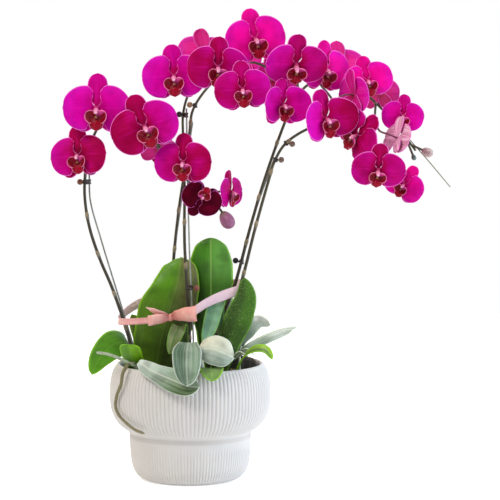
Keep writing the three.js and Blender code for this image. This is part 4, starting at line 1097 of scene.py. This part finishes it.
# After the cut, the layer says how far from painted shade each corner is: low in the grooves, lowest in the
# neck.
for vert in bm.verts:
    share = vert[rib]
    if share > 0:
        ridge = abs(math.cos(FLUTES / 2 * math.atan2(vert.co.y, vert.co.x)))
        cut = share * (1 - ridge**FLUTE_BLUNTNESS)
        vert.co.xy = vert.co.xy * (1 - FLUTE_DEPTH * cut / vert.co.xy.length)
        vert[rib] = 1 - cut
    else:
        vert[rib] = 0.1 if NECK_LOW < vert.co.z < NECK_HIGH else 1
make_piece("pot_fluted", bm, [white_glaze], "glaze", "pot")


# The liner, lightly crumpled, and the bed of bark with moss and twigs.
bm = new_mesh()
# The liner's far right edge stands up above the bark.
LINER_LIFT = 8
LINER = [(0, 8.4), (66, 8.4), (94.6, 155), (95.2, 157), (94.2, 157.2), (93.4, 155), (64.6, 10.4), (0, 10.4)]
outline = Route([(r, 0, z) for r, z in LINER])
spots = [outline.spot(k / 42) for k in range(43)]
turn_round(bm, [bm.verts.new((max(spot.x, 0), 0, spot.z)) for spot in spots], 144)
for vert in bm.verts:
    reach = vert.co.xy.length
    if vert.co.z > 110 and reach > 60:
        crumple = noise.noise(vert.co * 0.09) * smooth(110, 150, vert.co.z) * 1.6
        vert.co.xy = vert.co.xy * (1 + crumple / reach)
        aside, behind = smooth(0.2, 0.7, vert.co.x / reach), smooth(-0.1, 0.4, vert.co.y / reach)
        vert.co.z += LINER_LIFT * smooth(148, 156, vert.co.z) * aside * behind
make_piece("liner_wall", bm, [dark_plastic], "liner", "liner")

MOUND = [
    (0, 147), (20, 147.6), (35, 147.4), (50, 145), (62, 143.6), (74, 144.2), (84, 143.6), (90, 140),
    (89, 128), (0, 128),
]


def mound_height(reach):
    top = MOUND[:8]
    for (near, low), (far, high) in zip(top, top[1:]):
        if reach <= far:
            return low + (high - low) * (reach - near) / (far - near)
    return top[-1][1]


bm = new_mesh()
turn_round(bm, [bm.verts.new((r, 0, z)) for r, z in MOUND], 96, 3)
tint_layer = bm.verts.layers.float_color["tint"]
for vert in bm.verts:
    vert[tint_layer] = linear("2c1f15")
    if vert.co.z > 135:
        vert.co.z += 1.6 * noise.noise(vert.co * 0.12) - 7 * smooth(20, 80, vert.co.y)
dice = random.Random(7)
block = bmesh.ops.create_cube(bm, size=1)["verts"]
grown = bmesh.ops.subdivide_edges(bm, edges=joined(block, "link_edges"), cuts=1, use_grid_fill=True)["geom"]
block = only(grown, "BMFace")
BARK_TONES = [linear(c) for c in ("4d3622", "6b4a2c", "3a281a", "7c5c3a", "59402a", "2e2118")]
for _ in range(300):
    reach, turn = 87 * dice.random() ** 0.5, dice.uniform(0, FULL_TURN)
    size = Vector((dice.uniform(7, 17), dice.uniform(5, 10), dice.uniform(2.2, 5)))
    height = mound_height(reach) + dice.uniform(0, 2.5)
    spot = Vector((reach * math.cos(turn), reach * math.sin(turn), height))
    # The bark lies lower at the back, so that the liner's wall shows there.
    spot.z -= 7 * smooth(20, 80, spot.y) + 3 * smooth(60, 85, reach)
    tilt = Matrix.Rotation(dice.uniform(-0.5, 0.5), 4, "X") @ Matrix.Rotation(dice.uniform(-0.4, 0.4), 4, "Y")
    place = Matrix.Translation(spot) @ Matrix.Rotation(dice.uniform(0, 6.3), 4, "Z") @ tilt
    corners = only(bmesh.ops.duplicate(bm, geom=block)["geom"], "BMVert")
    bmesh.ops.transform(bm, matrix=place @ Matrix.Diagonal((*size, 1)), verts=corners)
    tone = dice.choice(BARK_TONES)
    for vert in corners:
        away = vert.co - spot
        chipped = Vector([dice.uniform(-0.7, 0.7) for _ in range(3)])
        vert.co = spot + away * (1 - 0.12 * away.length / size.x) + chipped
        vert[tint_layer] = tone
        vert.co.xy = vert.co.xy * min(1, 89.5 / max(vert.co.xy.length, 1))
bmesh.ops.delete(bm, geom=block, context="FACES")
MOSS_PLACES = [(-34, -70, 26), (-20, -60, 22), (8, -66, 18), (-60, 5, 16), (52, 30, 20), (20, -60, 14)]
for x, y, patch in MOSS_PLACES:
    for _ in range(26):
        reach, turn = patch * dice.random() ** 0.5, dice.uniform(0, 6.3)
        spot = Vector((x + reach * math.cos(turn), y + reach * math.sin(turn), 0))
        spot.xy = spot.xy * min(1, 84 / max(spot.xy.length, 1))
        spot.z = mound_height(spot.xy.length) + 3
        heading = dice.uniform(0, 6.3)
        line = [spot]
        for _ in range(5):
            heading += dice.uniform(-0.8, 0.8)
            step = Vector((math.cos(heading), math.sin(heading), dice.uniform(-0.5, 0.55))) * 3.2
            line.append(line[-1] + step)
        tone = dice.choice(("a89a6c", "c3b78c", "8b8a55", "b5a27a"))
        add_tube(bm, line, lambda share: 0.9 - 0.5 * share, tone, 5, 1)
# Where each twig lies, which way it points and how long it is.
TWIGS = [(72, -34, 0.5, 26), (66, -42, -0.3, 22), (78, -24, 1.4, 20), (-52, -66, 2.4, 22), (40, 62, 0.2, 30)]
for x, y, heading, length in TWIGS:
    spot = Vector((x, y, mound_height(math.hypot(x, y)) + 4))
    step = Vector((math.cos(heading), math.sin(heading), 0.08)) * (length / 6)
    line = [spot + step * (k - 3) + Vector((0, 0, 0.8 * math.sin(k))) for k in range(7)]
    line = [Vector((*(p.xy * min(1, 88 / p.xy.length)), p.z)) for p in line]
    add_tube(bm, line, lambda share: 1.5 - 0.5 * share, "6b4f38", 7)
make_piece("bark_bed", bm, [bark_chip, moss_strand], "growing_medium", "growing_medium")


# Floor and light: a plain pale floor in a bright, soft studio, warmer on the left and cooler on the right.
bm = bmesh.new()
bmesh.ops.create_circle(bm, cap_ends=True, radius=2.2, segments=96)
mesh = bpy.data.meshes.new("floor")
bm.to_mesh(mesh)
bm.free()
floor = bpy.data.objects.new("floor", mesh)
scene.collection.objects.link(floor)
# An opal acrylic table that is lit from beneath: even white without a horizon.
opal_acrylic, tree = new_material("lit_opal_acrylic", Roughness=0.7, Emission_Color=(1, 1, 1, 1))
shader = tree.nodes["Principled BSDF"]
tree.links.new(laid("fbfbfb", lumps(tree, 400), "f7f7f8"), shader.inputs["Base Color"])
camera_ray = add_node(tree, "LightPath").outputs["Is Camera Ray"]
tree.links.new(rise(camera_ray, 0.0, 1.0, 0.15, 0.5), shader.inputs["Emission Strength"])
mesh.materials.append(opal_acrylic)

world = bpy.data.worlds.new("studio")
scene.world = world
world.use_nodes = True
tree = world.node_tree
way = add_node(tree, "SeparateXYZ", {0: add_node(tree, "TexCoord").outputs["Generated"]})
tone = coat("ffecd6", way.outputs[0], -0.7, 0.5, 1.0, "eaf2ff")
from_back = rise(way.outputs[1], -0.9, 0.7, 0.3, 1.4)
from_right = rise(way.outputs[0], -0.8, 0.8, 0.75, 1.25)
glow = add_node(tree, "Math", {0: from_back, 1: from_right}, operation="MULTIPLY").outputs[0]
camera_ray = add_node(tree, "LightPath").outputs["Is Camera Ray"]
strength = add_node(tree, "Mix", {0: camera_ray, 2: glow, 3: 1.0}, data_type="FLOAT").outputs[0]
tone = laid(tone, camera_ray, "ffffff")
background = tree.nodes["Background"]
tree.links.new(tone, background.inputs["Color"])
tree.links.new(strength, background.inputs["Strength"])


def add_light(name, at, to, size, power, spread, colour):
    """Adds a square soft light that shines from one place to another, within a spread in degrees."""
    data = bpy.data.lights.new(name, "AREA")
    data.size, data.energy, data.spread, data.color = size, power, radians(spread), linear(colour)[:3]
    lamp = bpy.data.objects.new(name, data)
    lamp.location = at
    lamp.rotation_euler = (Vector(to) - Vector(at)).to_track_quat("-Z", "Y").to_euler()
    scene.collection.objects.link(lamp)


add_light("key", (-0.9, -1.3, 1.9), (0.08, 0, 0.54), 0.9, 3.6, 56, "fffaf4")
add_light("fill_right", (1.6, -0.5, 0.4), (0.1, 0, 0.1), 1.2, 15, 180, "e6f0ff")
